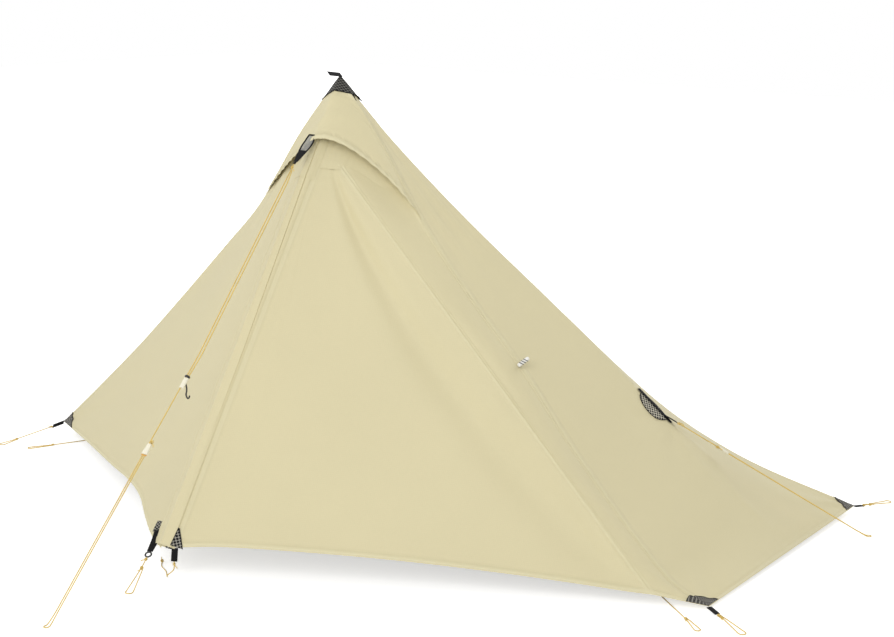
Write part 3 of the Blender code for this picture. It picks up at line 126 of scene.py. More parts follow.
class TentSizes(bpy.types.PropertyGroup):
    cloth: FloatProperty(name="Fly cloth", description="Thickness of the fly cloth",
                         default=0.0005, min=0.0002, max=0.0015, unit="LENGTH")
    seam: FloatProperty(name="Seam width", description="Width of a felled seam on the fly",
                        default=0.012, min=0.006, max=0.02, unit="LENGTH")
    seam_rise: FloatProperty(name="Seam rise", description="How far a felled seam stands proud",
                             default=0.0009, min=0.0, max=0.002, unit="LENGTH")
    hem: FloatProperty(name="Hem width", description="Width of the hem along the ground",
                       default=0.014, min=0.006, max=0.03, unit="LENGTH")
    stitch: FloatProperty(name="Stitch pitch", description="Distance between stitches",
                          default=0.0045, min=0.002, max=0.01, unit="LENGTH")
    wrinkles: FloatProperty(name="Wrinkles", description="Depth of the folds and puckers",
                            default=1.0, min=0.0, max=2.0, subtype="FACTOR")
    braid: FloatProperty(name="Braid", description="Length of one braid crossing of the cords",
                         default=0.0028, min=0.001, max=0.006, unit="LENGTH")


def colour(name, text, value):
    return FloatVectorProperty(name=name, description=text, default=value, size=3, min=0.0,
                               max=1.0, subtype="COLOR")


class TentColours(bpy.types.PropertyGroup):
    fly: colour("Fly", "Coated cloth of the fly", (0.675, 0.61, 0.385))
    mesh: colour("Mesh", "Reinforcing mesh at the corners", (0.008, 0.008, 0.009))
    webbing: colour("Webbing", "Straps and bindings", (0.008, 0.008, 0.009))
    cord: colour("Cord", "Guylines and corner cords", (0.84, 0.6, 0.15))
    tensioner: colour("Tensioner", "Moulded line tensioners", (0.8, 0.76, 0.6))
    fitting: colour("Fittings", "Black moulded fittings", (0.018, 0.018, 0.018))
    floor: colour("Inner floor", "Tub floor of the inner tent", (0.085, 0.095, 0.1))
    netting: colour("Netting", "Fine netting of the inner tent", (0.05, 0.05, 0.052))
    alloy: colour("Pole", "Aluminium tubes", (0.5, 0.51, 0.53))


def sizes():
    return bpy.context.scene.tent_sizes


def colours():
    return bpy.context.scene.tent_colours


# Shape of the pitched cloth

def smooth(pairs, t):
    """The value at a place of a smooth curve through pairs of place and value."""
    last = len(pairs) - 1
    i = 0
    while i < last - 1 and t > pairs[i + 1][0]:
        i += 1

    def slope(k):
        a = max(k - 1, 0)
        b = min(k + 1, last)
        return (pairs[b][1] - pairs[a][1]) / (pairs[b][0] - pairs[a][0])

    x0, y0 = pairs[i]
    x1, y1 = pairs[i + 1]
    span = x1 - x0
    u = (t - x0) / span
    return (
        (2 * u**3 - 3 * u**2 + 1) * y0
        + (u**3 - 2 * u**2 + u) * span * slope(i)
        + (3 * u**2 - 2 * u**3) * y1
        + (u**3 - u**2) * span * slope(i + 1)
    )


def ridge(corner, t):
    foot, drop = CORNERS[corner]
    point = APEX.lerp(foot, t)
    point.z -= smooth(drop, t)
    return point


def soft_edge(x):
    soft = 0.05
    return (x + math.hypot(x, soft)) / (1.0 + math.hypot(1.0, soft))


def crest_panel(front, back, crest_drop):
    front_foot, front_slack = CORNERS[front]
    back_foot, back_slack = CORNERS[back]

    def surface(s, t):
        point = APEX.lerp(front_foot.lerp(back_foot, s), t)
        front_share = soft_edge((CREST - s) / CREST) if s < 1.0 else 0.0
        back_share = soft_edge((s - CREST) / (1.0 - CREST)) if s > 0.0 else 0.0
        point.z -= front_share * smooth(front_slack, t) + back_share * smooth(back_slack, t)
        near = s / CREST if s < CREST else (1.0 - s) / (1.0 - CREST)
        point.z -= smooth(crest_drop, t) * max(0.0, near)
        return point

    return surface


def back_side(s, t):
    right_foot, slack = CORNERS["back_right"]
    bow = 4.0 * s * (1.0 - s)
    foot = right_foot.lerp(CORNERS["back_left"][0], s)
    point = APEX.lerp(foot, t * (1.0 - 0.02 * bow * t))
    point.z -= smooth(slack, t) * (1.0 - 0.24 * bow)
    return point


def front_left_side(s, t):
    foot, slack = CORNERS["front_left"]
    point = APEX.lerp(foot.lerp(POINT_FOOT, s), t * (1.0 - smooth(HEM_BOW_LEFT, s) * t))
    point.z -= smooth(slack, t) * max(0.0, 1.0 - s / 0.9) ** 1.15
    return point


POINT_FOOT = CORNERS["point"][0]
RIGHT_FOOT = CORNERS["front_right"][0]
DOWN = (POINT_FOOT - APEX).normalized()
RIDGE_LENGTH = (POINT_FOOT - APEX).length
RIGHT_NORMAL = (POINT_FOOT - APEX).cross(RIGHT_FOOT - APEX).normalized()
if RIGHT_NORMAL.y > 0.0:
    RIGHT_NORMAL.negate()
ACROSS = RIGHT_NORMAL.cross(DOWN)
if ACROSS.x < 0.0:
    ACROSS.negate()
SIDE_WIDTH = (RIGHT_FOOT - POINT_FOOT).dot(ACROSS)
LEFT_NORMAL = Vector((-RIGHT_NORMAL.x, RIGHT_NORMAL.y, RIGHT_NORMAL.z))
LEFT_ACROSS = Vector((-ACROSS.x, ACROSS.y, ACROSS.z))
MIDDLE_NORMAL = (RIGHT_NORMAL + LEFT_NORMAL).normalized()


def on_right(across, down, height=0.0):
    return APEX + ACROSS * across + DOWN * down + RIGHT_NORMAL * height


def on_left(across, down, height=0.0):
    return APEX + LEFT_ACROSS * across + DOWN * down + LEFT_NORMAL * height


def on_front(across, down, height):
    if across > 0.0:
        return on_right(across, down, height)
    if across < 0.0:
        return on_left(-across, down, height)
    return APEX + DOWN * down + MIDDLE_NORMAL * (height / MIDDLE_NORMAL.dot(RIGHT_NORMAL))


def right_row(t, across):
    return APEX.lerp(POINT_FOOT.lerp(RIGHT_FOOT, across / (t * SIDE_WIDTH)), t)


def hinge_point(v):
    return HINGE_TOP.lerp(HINGE_FOOT, v)


def door_side(u, v):
    v = v - smooth(HEM_BOW_DOOR, u) * max(0.0, v) ** 4
    t = VENT_BOTTOM + (1.0 - VENT_BOTTOM) * v
    start = right_row(t, DOOR_EDGE)
    fade = min(1.0, v / 0.15, (1.0 - v) / 0.08) * min(1.0, (1.0 - u) / 0.06)
    fold = -0.015 * math.exp(-(((u - 0.58 - 0.38 * v) / 0.085) ** 2)) * max(0.0, fade)
    belly = -0.006 * math.sin(math.pi * u) ** 2 * math.sin(math.pi * v) if u >= 0.12 else 0.0
    return start.lerp(hinge_point(v), u) + RIGHT_NORMAL * (fold + belly)


def beside_door(u, v):
    t = VENT_BOTTOM + (1.0 - VENT_BOTTOM) * v
    point = hinge_point(v).lerp(ridge("front_right", t), u)
    swell = 0.012 * math.sin(math.pi * u) * math.sin(math.pi * v) * min(1.0, (1.0 - v) * 4.0)
    return point + RIGHT_NORMAL * swell


def hood_surface(s, t):
    v = (t - PANEL_TOP) / (HOOD_REACH - PANEL_TOP)
    end = ridge("front_right" if s >= 0.0 else "front_left", t)
    start = APEX.lerp(POINT_FOOT, PANEL_TOP).lerp(HOOD_BRIM, v)
    if s >= 0.0:
        lead = Vector((0.244, 0.023, 0.164)) * v
        arrive = Vector((0.148, 0.09, -0.283)) * v
    else:
        lead = (end - start + Vector((-0.02, 0.0, 0.03))) * v
        arrive = (end - start + Vector((0.02, 0.0, -0.03))) * v
    w = abs(s)
    return (
        start * (2 * w**3 - 3 * w**2 + 1)
        + lead * (w**3 - 2 * w**2 + w)
        + end * (3 * w**2 - 2 * w**3)
        + arrive * (w**3 - w**2)
    )


def vent_surface(s, t):
    if s <= 1.0:
        return front_left_side(s, t)
    point = APEX.lerp(POINT_FOOT.lerp(RIGHT_FOOT, s - 1.0), t)
    point.z -= smooth(DROP_FRONT_RIGHT, t) * max(0.0, (s - 1.33) / 0.67)
    return point


foot_end = crest_panel("front_right", "back_right", DROP_CREST_FOOT)
head_end = crest_panel("front_left", "back_left", DROP_CREST_HEAD)


# Meshes

FINISH = {}


def finished(name, mesh, finish, body="tent", node=None, angle=60.0):
    """A finished piece at the origin: it rides on its body and stands for its CAD node."""
    mesh.name = name
    thing = bpy.data.objects.new(name, mesh)
    bpy.context.scene.collection.objects.link(thing)
    mesh.materials.append(FINISH[finish])
    mesh.shade_smooth()
    mesh.set_sharp_from_angle(angle=math.radians(angle))
    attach(thing, body)
    if node:
        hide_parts(node)
    return thing


def mesh_of(points, faces, uv=None, layers=None):
    mesh = bpy.data.meshes.new("piece")
    mesh.from_pydata([tuple(p) for p in points], [], [tuple(f) for f in faces])
    work = bmesh.new()
    work.from_mesh(mesh)
    bmesh.ops.recalc_face_normals(work, faces=work.faces)
    work.to_mesh(mesh)
    work.free()
    if uv is not None:
        corner = np.zeros(len(mesh.loops), np.int32)
        mesh.loops.foreach_get("vertex_index", corner)
        layer = mesh.uv_layers.new(name="cloth")
        layer.data.foreach_set("uv", np.asarray(uv, np.float32)[corner].ravel())
    # The mask of doubled cloth, which the fly cloth paints lighter as a painted highlight.
    if layers is not None:
        kept = mesh.attributes.new("layers", "FLOAT", "POINT")
        kept.data.foreach_set("value", np.asarray(layers, np.float32).ravel())
    return mesh


def shell(outer, inner, uv, layers=None):
    """A closed sheet from its outer and inner grids of points."""
    outer, inner, uv = (np.asarray(grid, float) for grid in (outer, inner, uv))
    rows, cols = outer.shape[:2]
    base = rows * cols
    index = np.arange(base).reshape(rows, cols)
    quads = np.stack([index[:-1, :-1], index[:-1, 1:], index[1:, 1:], index[1:, :-1]], -1)
    quads = quads.reshape(-1, 4)
    ring = np.concatenate([index[0, :], index[1:, -1], index[-1, -2::-1], index[-2:0:-1, 0]])
    sides = np.stack([ring, np.roll(ring, -1), np.roll(ring, -1) + base, ring + base], -1)
    faces = np.concatenate([quads, quads[:, ::-1] + base, sides])
    points = np.concatenate([outer.reshape(-1, 3), inner.reshape(-1, 3)])
    flat = uv.reshape(-1, 2)
    marks = np.zeros(base) if layers is None else layers.ravel()
    return mesh_of(points, faces, np.concatenate([flat, flat]), np.concatenate([marks, marks]))


def ring_quads(rings, count):
    """Faces between rings of points that follow each other."""
    return [(i * count + k, i * count + (k + 1) % count, (i + 1) * count + (k + 1) % count,
             (i + 1) * count + k) for i in range(rings - 1) for k in range(count)]


def loft(rings, uv=None):
    """A closed piece through rings of points, with an end face at each end."""
    count = len(rings[0])
    points = [p for ring in rings for p in ring]
    ends = [tuple(range(count))[::-1], tuple(range(len(points) - count, len(points)))]
    return mesh_of(points, ring_quads(len(rings), count) + ends, uv)


def area_of(grid):
    grid = np.asarray(grid, float)
    a = grid[1:, 1:] - grid[:-1, :-1]
    b = grid[1:, :-1] - grid[:-1, 1:]
    return float(np.sum(np.linalg.norm(np.cross(a, b), axis=2)) / 2)


def normals_of(points, inside):
    """Outward unit normals of a grid of points."""
    across = np.gradient(points, axis=1)
    along = np.gradient(points, axis=0)
    out = np.cross(across, along)
    out /= np.maximum(np.linalg.norm(out, axis=2, keepdims=True), 1e-12)
    if np.mean(np.sum(out * (points - np.array(inside)), axis=2)) < 0.0:
        out = -out
    return out


def edge_steps(width, count, band, sewn):
    """Places across a width: close together at its sewn edges, even between."""
    steps = np.array([0.0])
    if sewn:
        steps = np.array([0.0, FOLD, band - FOLD, band, band * 1.9])
        steps = steps * min(1.0, 0.42 * width / steps[-1])
    high = width - steps[::-1]
    middle = np.linspace(steps[-1], high[0], count)
    return np.concatenate([steps[:-1], middle, high[1:]]) / width


def waves(x, y, length, seed, spread=math.pi, lean=0.0):
    """Soft irregular waves, the same each run."""
    kept = np.random.default_rng(seed)
    total = np.zeros_like(x)
    for _ in range(6):
        angle = lean + kept.uniform(-spread / 2, spread / 2)
        size = length * kept.uniform(0.7, 1.5)
        phase = kept.uniform(0.0, 2 * math.pi)
        total += np.sin((x * math.cos(angle) + y * math.sin(angle)) * 2 * math.pi / size + phase)
    return total / 3.5


class Skin:
    """A panel of cloth: its surface, its sewn edges, its relief and what is laid on it."""

    def __init__(self, surface, width, height, top=0.0, rows=120, columns=90, sewn=True,
                 relief=None, inside=(0.0, 0.25, 0.35), seam=None, edge=None):
        seam = seam or sizes().seam
        edge = edge or sizes().hem
        steps = [0.0, FOLD, edge - FOLD, edge, edge * 2] if sewn else [0.0]
        low = [1.0 - d / height for d in reversed(steps)]
        down = np.concatenate([np.linspace(top, low[0], rows), low[1:]])
        self.down = down
        self.place = np.array([edge_steps(max(width(t), 1e-3), columns, seam, sewn)
                               for t in down])
        points = np.array([[surface(float(s), float(t)) for s in line]
                           for line, t in zip(self.place, down)])
        widths = np.array([width(t) for t in down])[:, None]
        from_left = self.place * widths
        from_right = (1.0 - self.place) * widths
        ones = np.ones_like(from_left)
        from_hem = ((1.0 - down) * height)[:, None] * ones
        out = normals_of(points, inside)
        self.strip = np.zeros_like(from_left)
        if sewn:
            for distance, band in ((from_left, seam), (from_right, seam), (from_hem, edge)):
                ramp = np.clip(distance / FOLD, 0, 1) * np.clip((band - distance) / FOLD, 0, 1)
                self.strip = np.maximum(self.strip, ramp)
        height_map = self.strip * sizes().seam_rise
        if relief:
            nearest = np.minimum(from_left, from_right) if sewn else ones
            depth = relief(self.place, down[:, None] * ones, from_left, from_hem, nearest)
            height_map = height_map + depth * sizes().wrinkles
        self.points = points + out * height_map[..., None]
        self.out = normals_of(self.points, inside)
        self.width = width
        self.height = height
        self.uv = np.stack([(self.place - 0.5) * widths, -(down * height)[:, None] * ones], -1)

    def _read(self, grid, s, t):
        i = int(np.clip(np.searchsorted(self.down, t) - 1, 0, len(self.down) - 2))
        share = (t - self.down[i]) / (self.down[i + 1] - self.down[i])
        low = [np.interp(s, self.place[i], grid[i, :, k]) for k in range(3)]
        high = [np.interp(s, self.place[i + 1], grid[i + 1, :, k]) for k in range(3)]
        return Vector(low).lerp(Vector(high), float(np.clip(share, 0.0, 1.0)))

    def at(self, s, t, height=0.0):
        place = self._read(self.points, s, t)
        if height:
            place = place + self.normal(s, t) * height
        return place

    def normal(self, s, t):
        return self._read(self.out, s, t).normalized()

    def mesh(self):
        inner = self.points - self.out * sizes().cloth
        # The seam strips and the hem are marked here for the fly cloth's painted highlight.
        return shell(self.points, inner, self.uv, self.strip)

    def area(self):
        return area_of(self.points)


def tube(path, radius, sides=8, closed=False):
    """A round cord or bar along a path, with a UV map in metres."""
    line = np.array(path, float)
    count = len(line)
    run = np.roll(line, -1, 0) - np.roll(line, 1, 0) if closed else np.gradient(line, axis=0)
    run /= np.maximum(np.linalg.norm(run, axis=1, keepdims=True), 1e-12)
    side = np.cross(run[0], (0.0, 0.0, 1.0) if abs(run[0][2]) < 0.9 else (1.0, 0.0, 0.0))
    side /= np.linalg.norm(side)
    angles = np.linspace(0, 2 * math.pi, sides, endpoint=False)
    rings = []
    uv = []
    reach = 0.0
    for k in range(count):
        if k:
            side = side - run[k] * side.dot(run[k])
            side /= np.linalg.norm(side)
            reach += float(np.linalg.norm(line[k] - line[k - 1]))
        up = np.cross(run[k], side)
        rings.append(line[k] + radius * (np.outer(np.cos(angles), side)
                                         + np.outer(np.sin(angles), up)))
        uv += [(reach, radius * a) for a in angles]
    points = [p for ring in rings for p in ring]
    faces = ring_quads(count, sides)
    if closed:
        shift = int(np.argmin(np.linalg.norm(rings[0] - rings[-1][0], axis=1)))
        last = (count - 1) * sides
        faces += [(last + j, last + (j + 1) % sides, (j + 1 + shift) % sides,
                   (j + shift) % sides) for j in range(sides)]
        return mesh_of(points, faces, uv)
    for end, sign, far in ((0, -1.0, 0.0), (count - 1, 1.0, reach)):
        points.append(line[end] + run[end] * sign * (radius * 0.6))
        uv.append((far, 0.0))
        faces += [(end * sides + j, end * sides + (j + 1) % sides, len(points) - 1)
                  for j in range(sides)]
    return mesh_of(points, faces, uv)


def through(route, count):
    """Evenly spaced places on a smooth curve through the route."""
    places = [0.0]
    for a, b in zip(route, route[1:]):
        places.append(places[-1] + (b - a).length)
    tracks = [[(d, p[i]) for d, p in zip(places, route)] for i in range(3)]
    return [Vector([smooth(track, d) for track in tracks])
            for d in np.linspace(0.0, places[-1], count)]


def length_of(path):
    return sum((b - a).length for a, b in zip(path, path[1:]))


# A band's section, as pairs of a place across it and how far its edge is rounded down
BAND_SECTION = ((-1.0, 0.3), (-0.93, 0.0), (-0.5, 0.0), (0.0, 0.0), (0.5, 0.0), (0.93, 0.0),
                (1.0, 0.3))


def band(path, side, thickness, rise=None):
    """A flat webbing band: the path is the middle of its lower face, side is half its width."""
    outer, inner, uv = [], [], []
    reach = 0.0
    last = len(path) - 1
    for k, place in enumerate(path):
        run = path[min(k + 1, last)] - path[max(k - 1, 0)]
        across = side(k / last) if callable(side) else side
        up = run.cross(across).normalized() * thickness
        if rise is not None and up.dot(rise) < 0.0:
            up.negate()
        if k:
            reach += (place - path[k - 1]).length
        outer.append([place + across * w + up * (1.0 - e) for w, e in BAND_SECTION])
        inner.append([place + across * w + up * e for w, e in BAND_SECTION])
        uv.append([(w * across.length, reach) for w, _ in BAND_SECTION])
    return shell(outer, inner, uv)


def joined(meshes):
    """One mesh from several."""
    work = bmesh.new()
    for mesh in meshes:
        work.from_mesh(mesh)
    made = bpy.data.meshes.new("piece")
    for layer in meshes[0].uv_layers:
        made.uv_layers.new(name=layer.name)
    work.to_mesh(made)
    work.free()
    for mesh in meshes:
        bpy.data.meshes.remove(mesh)
    return made


def lathe(profile, sides):
    """A turned piece about local Z, from (radius, height) pairs, closed on its axis."""
    angles = np.linspace(0, 2 * math.pi, sides, endpoint=False)
    points = [(radius * math.cos(a), radius * math.sin(a), height)
              for radius, height in profile for a in angles]
    uv = [(a * max(radius, 0.002), height) for radius, height in profile for a in angles]
    mesh = mesh_of(points, ring_quads(len(profile), sides), uv)
    work = bmesh.new()
    work.from_mesh(mesh)
    bmesh.ops.remove_doubles(work, verts=work.verts, dist=1e-6)
    bmesh.ops.recalc_face_normals(work, faces=work.faces)
    work.to_mesh(mesh)
    work.free()
    return mesh


# Finishes

class Graph:
    """Short calls for adding shader nodes to a tree."""

    def __init__(self, tree):
        self.tree = tree

    def node(self, kind, **settings):
        made = self.tree.nodes.new(kind)
        for key, value in settings.items():
            setattr(made, key, value)
        return made

    def feed(self, socket, value):
        if isinstance(value, bpy.types.NodeSocket):
            self.tree.links.new(value, socket)
        else:
            socket.default_value = value

    def math(self, operation, *values):
        made = self.node("ShaderNodeMath", operation=operation)
        for socket, value in zip(made.inputs, values):
            self.feed(socket, value)
        return made.outputs[0]

    def mix(self, share, a, b, blend="MIX"):
        made = self.node("ShaderNodeMix", data_type="RGBA", blend_type=blend)
        for index, value in ((0, share), (6, a), (7, b)):
            if not isinstance(value, (bpy.types.NodeSocket, float, int)):
                value = (*value[:3], 1.0)
            self.feed(made.inputs[index], value)
        return made.outputs[2]

    def ramp(self, value, low, high):
        made = self.node("ShaderNodeMapRange", interpolation_type="SMOOTHSTEP")
        self.feed(made.inputs["Value"], value)
        made.inputs["From Min"].default_value = low
        made.inputs["From Max"].default_value = high
        return made.outputs["Result"]

    def noise(self, vector, scale, detail=3.0):
        made = self.node("ShaderNodeTexNoise")
        made.inputs["Scale"].default_value = scale
        made.inputs["Detail"].default_value = detail
        self.feed(made.inputs["Vector"], vector)
        return made.outputs["Fac"]

    def place(self, group, **values):
        made = self.node("ShaderNodeGroup", node_tree=bpy.data.node_groups[group])
        for key, value in values.items():
            self.feed(made.inputs[key.replace("_", " ").title()], value)
        return made.outputs

    def dye(self, tint, size, amount):
        return self.place("Uneven dye", colour=(*tint, 1.0), size=size, amount=amount)

    def uv_axes(self):
        """The two directions of the piece's own UV map."""
        split = self.node("ShaderNodeSeparateXYZ")
        self.feed(split.inputs[0], self.node("ShaderNodeUVMap").outputs[0])
        return split.outputs


def new_group(name, inputs, outputs):
    tree = bpy.data.node_groups.new(name, "ShaderNodeTree")
    for label, kind, value in inputs:
        socket = tree.interface.new_socket(label, in_out="INPUT", socket_type=kind)
        if value is not None:
            socket.default_value = value
    for label, kind in outputs:
        tree.interface.new_socket(label, in_out="OUTPUT", socket_type=kind)
    graph = Graph(tree)
    start = graph.node("NodeGroupInput")
    end = graph.node("NodeGroupOutput")
    return graph, start.outputs, end.inputs


def make_groups():
    number = "NodeSocketFloat"
    graph, given, out = new_group(
        "Woven cloth", [("Pitch", number, 0.0005), ("Grid", number, 0.0055)],
        [("Height", number), ("Grid", number)])
    axes = graph.uv_axes()
    threads = []
    lines = []
    for axis in (0, 1):
        turn = graph.math("DIVIDE", axes[axis], given["Pitch"])
        threads.append(graph.math("SINE", graph.math("MULTIPLY", turn, 2 * math.pi)))
        cell = graph.math("DIVIDE", axes[axis], given["Grid"])
        near = graph.math("ABSOLUTE", graph.math("SUBTRACT", graph.math("FRACT", cell), 0.5))
        lines.append(graph.ramp(near, 0.07, 0.03))
    woven = graph.math("MULTIPLY", threads[0], threads[1])
    grid = graph.math("MAXIMUM", lines[0], lines[1])
    graph.feed(out["Height"], graph.math("MULTIPLY_ADD", grid, 1.6, woven))
    graph.feed(out["Grid"], grid)

    graph, given, out = new_group(
        "Uneven dye", [("Colour", "NodeSocketColor", (0.5, 0.5, 0.5, 1.0)),
                       ("Size", number, 6.0), ("Amount", number, 0.06)],
        [("Colour", "NodeSocketColor"), ("Wear", number)])
    where = graph.node("ShaderNodeTexCoord").outputs["Object"]
    broad = graph.node("ShaderNodeTexNoise")
    graph.feed(broad.inputs["Vector"], where)
    graph.feed(broad.inputs["Scale"], given["Size"])
    broad.inputs["Detail"].default_value = 4.0
    fine = graph.noise(where, 180.0, 2.0)
    both = graph.math("MULTIPLY_ADD", fine, 0.35,
                      graph.math("MULTIPLY", broad.outputs["Fac"], 0.65))
    lift_by = graph.math("MULTIPLY_ADD", graph.math("SUBTRACT", both, 0.5),
                         graph.math("MULTIPLY", given["Amount"], 4.0), 1.0)
    scaled = graph.node("ShaderNodeVectorMath", operation="SCALE")
    graph.feed(scaled.inputs[0], given["Colour"])
    graph.feed(scaled.inputs["Scale"], lift_by)
    graph.feed(out["Colour"], scaled.outputs[0])
    graph.feed(out["Wear"], both)

    graph, given, out = new_group(
        "Net holes", [("Pitch", number, 0.004), ("Thread", number, 0.2), ("Turn", number, 0.785)],
        [("Thread", number), ("Height", number)])
    where = graph.node("ShaderNodeUVMap").outputs[0]
    turned = graph.node("ShaderNodeVectorRotate", rotation_type="Z_AXIS")
    graph.feed(turned.inputs["Vector"], where)
    graph.feed(turned.inputs["Angle"], given["Turn"])
    split = graph.node("ShaderNodeSeparateXYZ")
    graph.feed(split.inputs[0], turned.outputs[0])
    away = []
    for axis in (0, 1):
        cell = graph.math("FRACT", graph.math("DIVIDE", split.outputs[axis], given["Pitch"]))
        away.append(graph.math("SUBTRACT", cell, 0.5))
    squared = [graph.math("POWER", graph.math("ABSOLUTE", a), 2.6) for a in away]
    radius = graph.math("POWER", graph.math("ADD", squared[0], squared[1]), 1.0 / 2.6)
    edge = graph.math("SUBTRACT", 0.5, graph.math("MULTIPLY", given["Thread"], 0.5))
    solid = graph.math("MULTIPLY_ADD", graph.math("SUBTRACT", radius, edge), 14.0, 0.5)
    clipped = graph.math("MINIMUM", graph.math("MAXIMUM", solid, 0.0), 1.0)
    graph.feed(out["Thread"], clipped)
    graph.feed(out["Height"], radius)

    graph, given, out = new_group(
        "Braid", [("Along", number, 0.0028), ("Round", number, 0.00157)],
        [("Height", number), ("Crossing", number)])
    axes = graph.uv_axes()
    along = graph.math("DIVIDE", axes[0], given["Along"])
    around = graph.math("DIVIDE", axes[1], given["Round"])
    one = graph.math("SINE", graph.math("MULTIPLY", graph.math("ADD", along, around), 2 * math.pi))
    two = graph.math("SINE", graph.math("MULTIPLY", graph.math("SUBTRACT", along, around),
                                        2 * math.pi))
    graph.feed(out["Height"], graph.math("MAXIMUM", one, two))
    graph.feed(out["Crossing"], graph.math("MULTIPLY", one, two))

    graph, given, out = new_group(
        "Moulded grain", [("Size", number, 900.0)],
        [("Height", number), ("Rough", number)])
    where = graph.node("ShaderNodeTexCoord").outputs["Object"]
    grain = graph.node("ShaderNodeTexNoise")
    graph.feed(grain.inputs["Vector"], where)
    graph.feed(grain.inputs["Scale"], given["Size"])
    grain.inputs["Detail"].default_value = 3.0
    scuff = graph.noise(where, 95.0, 5.0)
    graph.feed(out["Height"], grain.outputs["Fac"])
    graph.feed(out["Rough"], scuff)


SOCKETS = {"alpha": "Alpha", "metallic": "Metallic", "specular": "Specular IOR Level",
           "sheen": "Sheen Weight", "sheen_rough": "Sheen Roughness", "coat": "Coat Weight"}
DIAGONAL = 0.785


def bare_material(name):
    made = bpy.data.materials.new(name)
    made.use_nodes = True
    shader = next(n for n in made.node_tree.nodes if n.type == "BSDF_PRINCIPLED")
    return made, Graph(made.node_tree), shader.inputs


def new_material(name):
    """A material's graph, and the call that fills its shader and its bump."""
    made, graph, shader = bare_material(name)

    def paint(colour, rough, height, distance, strength, **more):
        graph.feed(shader["Base Color"], colour)
        graph.feed(shader["Roughness"], rough)
        for key, value in more.items():
            graph.feed(shader[SOCKETS[key]], value)
        bump = graph.node("ShaderNodeBump")
        bump.inputs["Strength"].default_value = strength
        bump.inputs["Distance"].default_value = distance
        graph.feed(bump.inputs["Height"], height)
        graph.feed(shader["Normal"], bump.outputs["Normal"])
        return made

    return graph, paint


def times(tint, factor):
    return tuple(c * factor for c in tint)


def fly_cloth():
    graph, paint = new_material("Fly cloth")
    tint = tuple(colours().fly)
    dye = graph.dye(tint, 3.2, 0.028)
    weave = graph.place("Woven cloth", pitch=0.0006, grid=0.0056)
    layers = graph.node("ShaderNodeAttribute", attribute_name="layers").outputs["Fac"]
    line = graph.mix(graph.math("MULTIPLY", weave["Grid"], 0.16), dye["Colour"], times(tint, 0.8))
    # Painted highlight: where the cloth is doubled (seam strips, hems, the zip band's edge and the
    # flap's sewn edges) it is painted lighter and whiter, standing in for the light its raised folds
    # catch.
    doubled = graph.mix(graph.math("MULTIPLY", layers, 0.7), line,
                        (tint[0] * 1.06, tint[1] * 1.08, tint[2] * 1.13))
    return paint(doubled, graph.math("MULTIPLY_ADD", dye["Wear"], 0.2, 0.44), weave["Height"],
                 0.00006, 0.8, specular=0.22, sheen=0.05, sheen_rough=0.45)


def netting(name, tint, pitch, thread, turn=DIAGONAL):
    """Open net that is clear between its threads."""
    graph, paint = new_material(name)
    holes = graph.place("Net holes", pitch=pitch, thread=thread, turn=turn)
    return paint(graph.dye(tint, 40.0, 0.1)["Colour"], 0.6, holes["Height"], 0.0004, 0.7,
                 alpha=holes["Thread"], sheen=0.2)


def backed_mesh(name, tint, light, pitch, thread, turn=DIAGONAL):
    """Close black mesh with a paler ripstop grid."""
    graph, paint = new_material(name)
    holes = graph.place("Net holes", pitch=pitch, thread=thread, turn=turn)
    dye = graph.dye(tint, 40.0, 0.12)
    return paint(graph.mix(holes["Thread"], dye["Colour"], light), 0.6, holes["Thread"], 0.0003,
                 0.8, specular=0.12)


def strap_web():
    graph, paint = new_material("Strap webbing")
    tint = tuple(colours().webbing)
    axes = graph.uv_axes()
    across = graph.math("SINE", graph.math("MULTIPLY", axes[0], 2 * math.pi / 0.0014))
    along = graph.math("MULTIPLY", axes[1], 2 * math.pi / 0.0011)
    shifted = graph.math("ADD", along, graph.math("MULTIPLY", across, 1.3))
    ribs = graph.math("MULTIPLY", graph.math("SINE", shifted), across)
    # The raised tops of the ribs are drawn lighter.
    lighter_weave = graph.mix(graph.ramp(ribs, 0.2, 1.0), graph.dye(tint, 60.0, 0.12)["Colour"],
                     times(tint, 2.2))
    return paint(lighter_weave, 0.65, ribs, 0.00022, 0.9, specular=0.12)


def line_cord(name, tint):
    graph, paint = new_material(name)
    braid = graph.place("Braid", along=sizes().braid, round=CORD * math.pi / 6)
    fleck = graph.mix(graph.ramp(braid["Crossing"], 0.35, 0.8),
                      graph.dye(tint, 70.0, 0.1)["Colour"], times(tint, 0.72))
    return paint(fleck, 0.6, braid["Height"], 0.0003, 0.8, sheen=0.2)


def moulded(name, tint, rough, coat=0.0):
    graph, paint = new_material(name)
    grain = graph.place("Moulded grain", size=1400.0)
    return paint(graph.dye(tint, 90.0, 0.05)["Colour"],
                 graph.math("MULTIPLY_ADD", grain["Rough"], 0.3, rough - 0.15), grain["Height"],
                 0.00006, 0.6, coat=coat)


def floor_cloth():
    graph, paint = new_material("Inner floor cloth")
    tint = tuple(colours().floor)
    weave = graph.place("Woven cloth", pitch=0.0008, grid=0.006)
    dye = graph.dye(tint, 4.0, 0.08)
    # The grid lines of the weave are drawn lighter.
    lighter_weave = graph.mix(graph.math("MULTIPLY", weave["Grid"], 0.2), dye["Colour"], times(tint, 1.5))
    return paint(lighter_weave, graph.math("MULTIPLY_ADD", dye["Wear"], 0.2, 0.4), weave["Height"],
                 0.00008, 0.8)


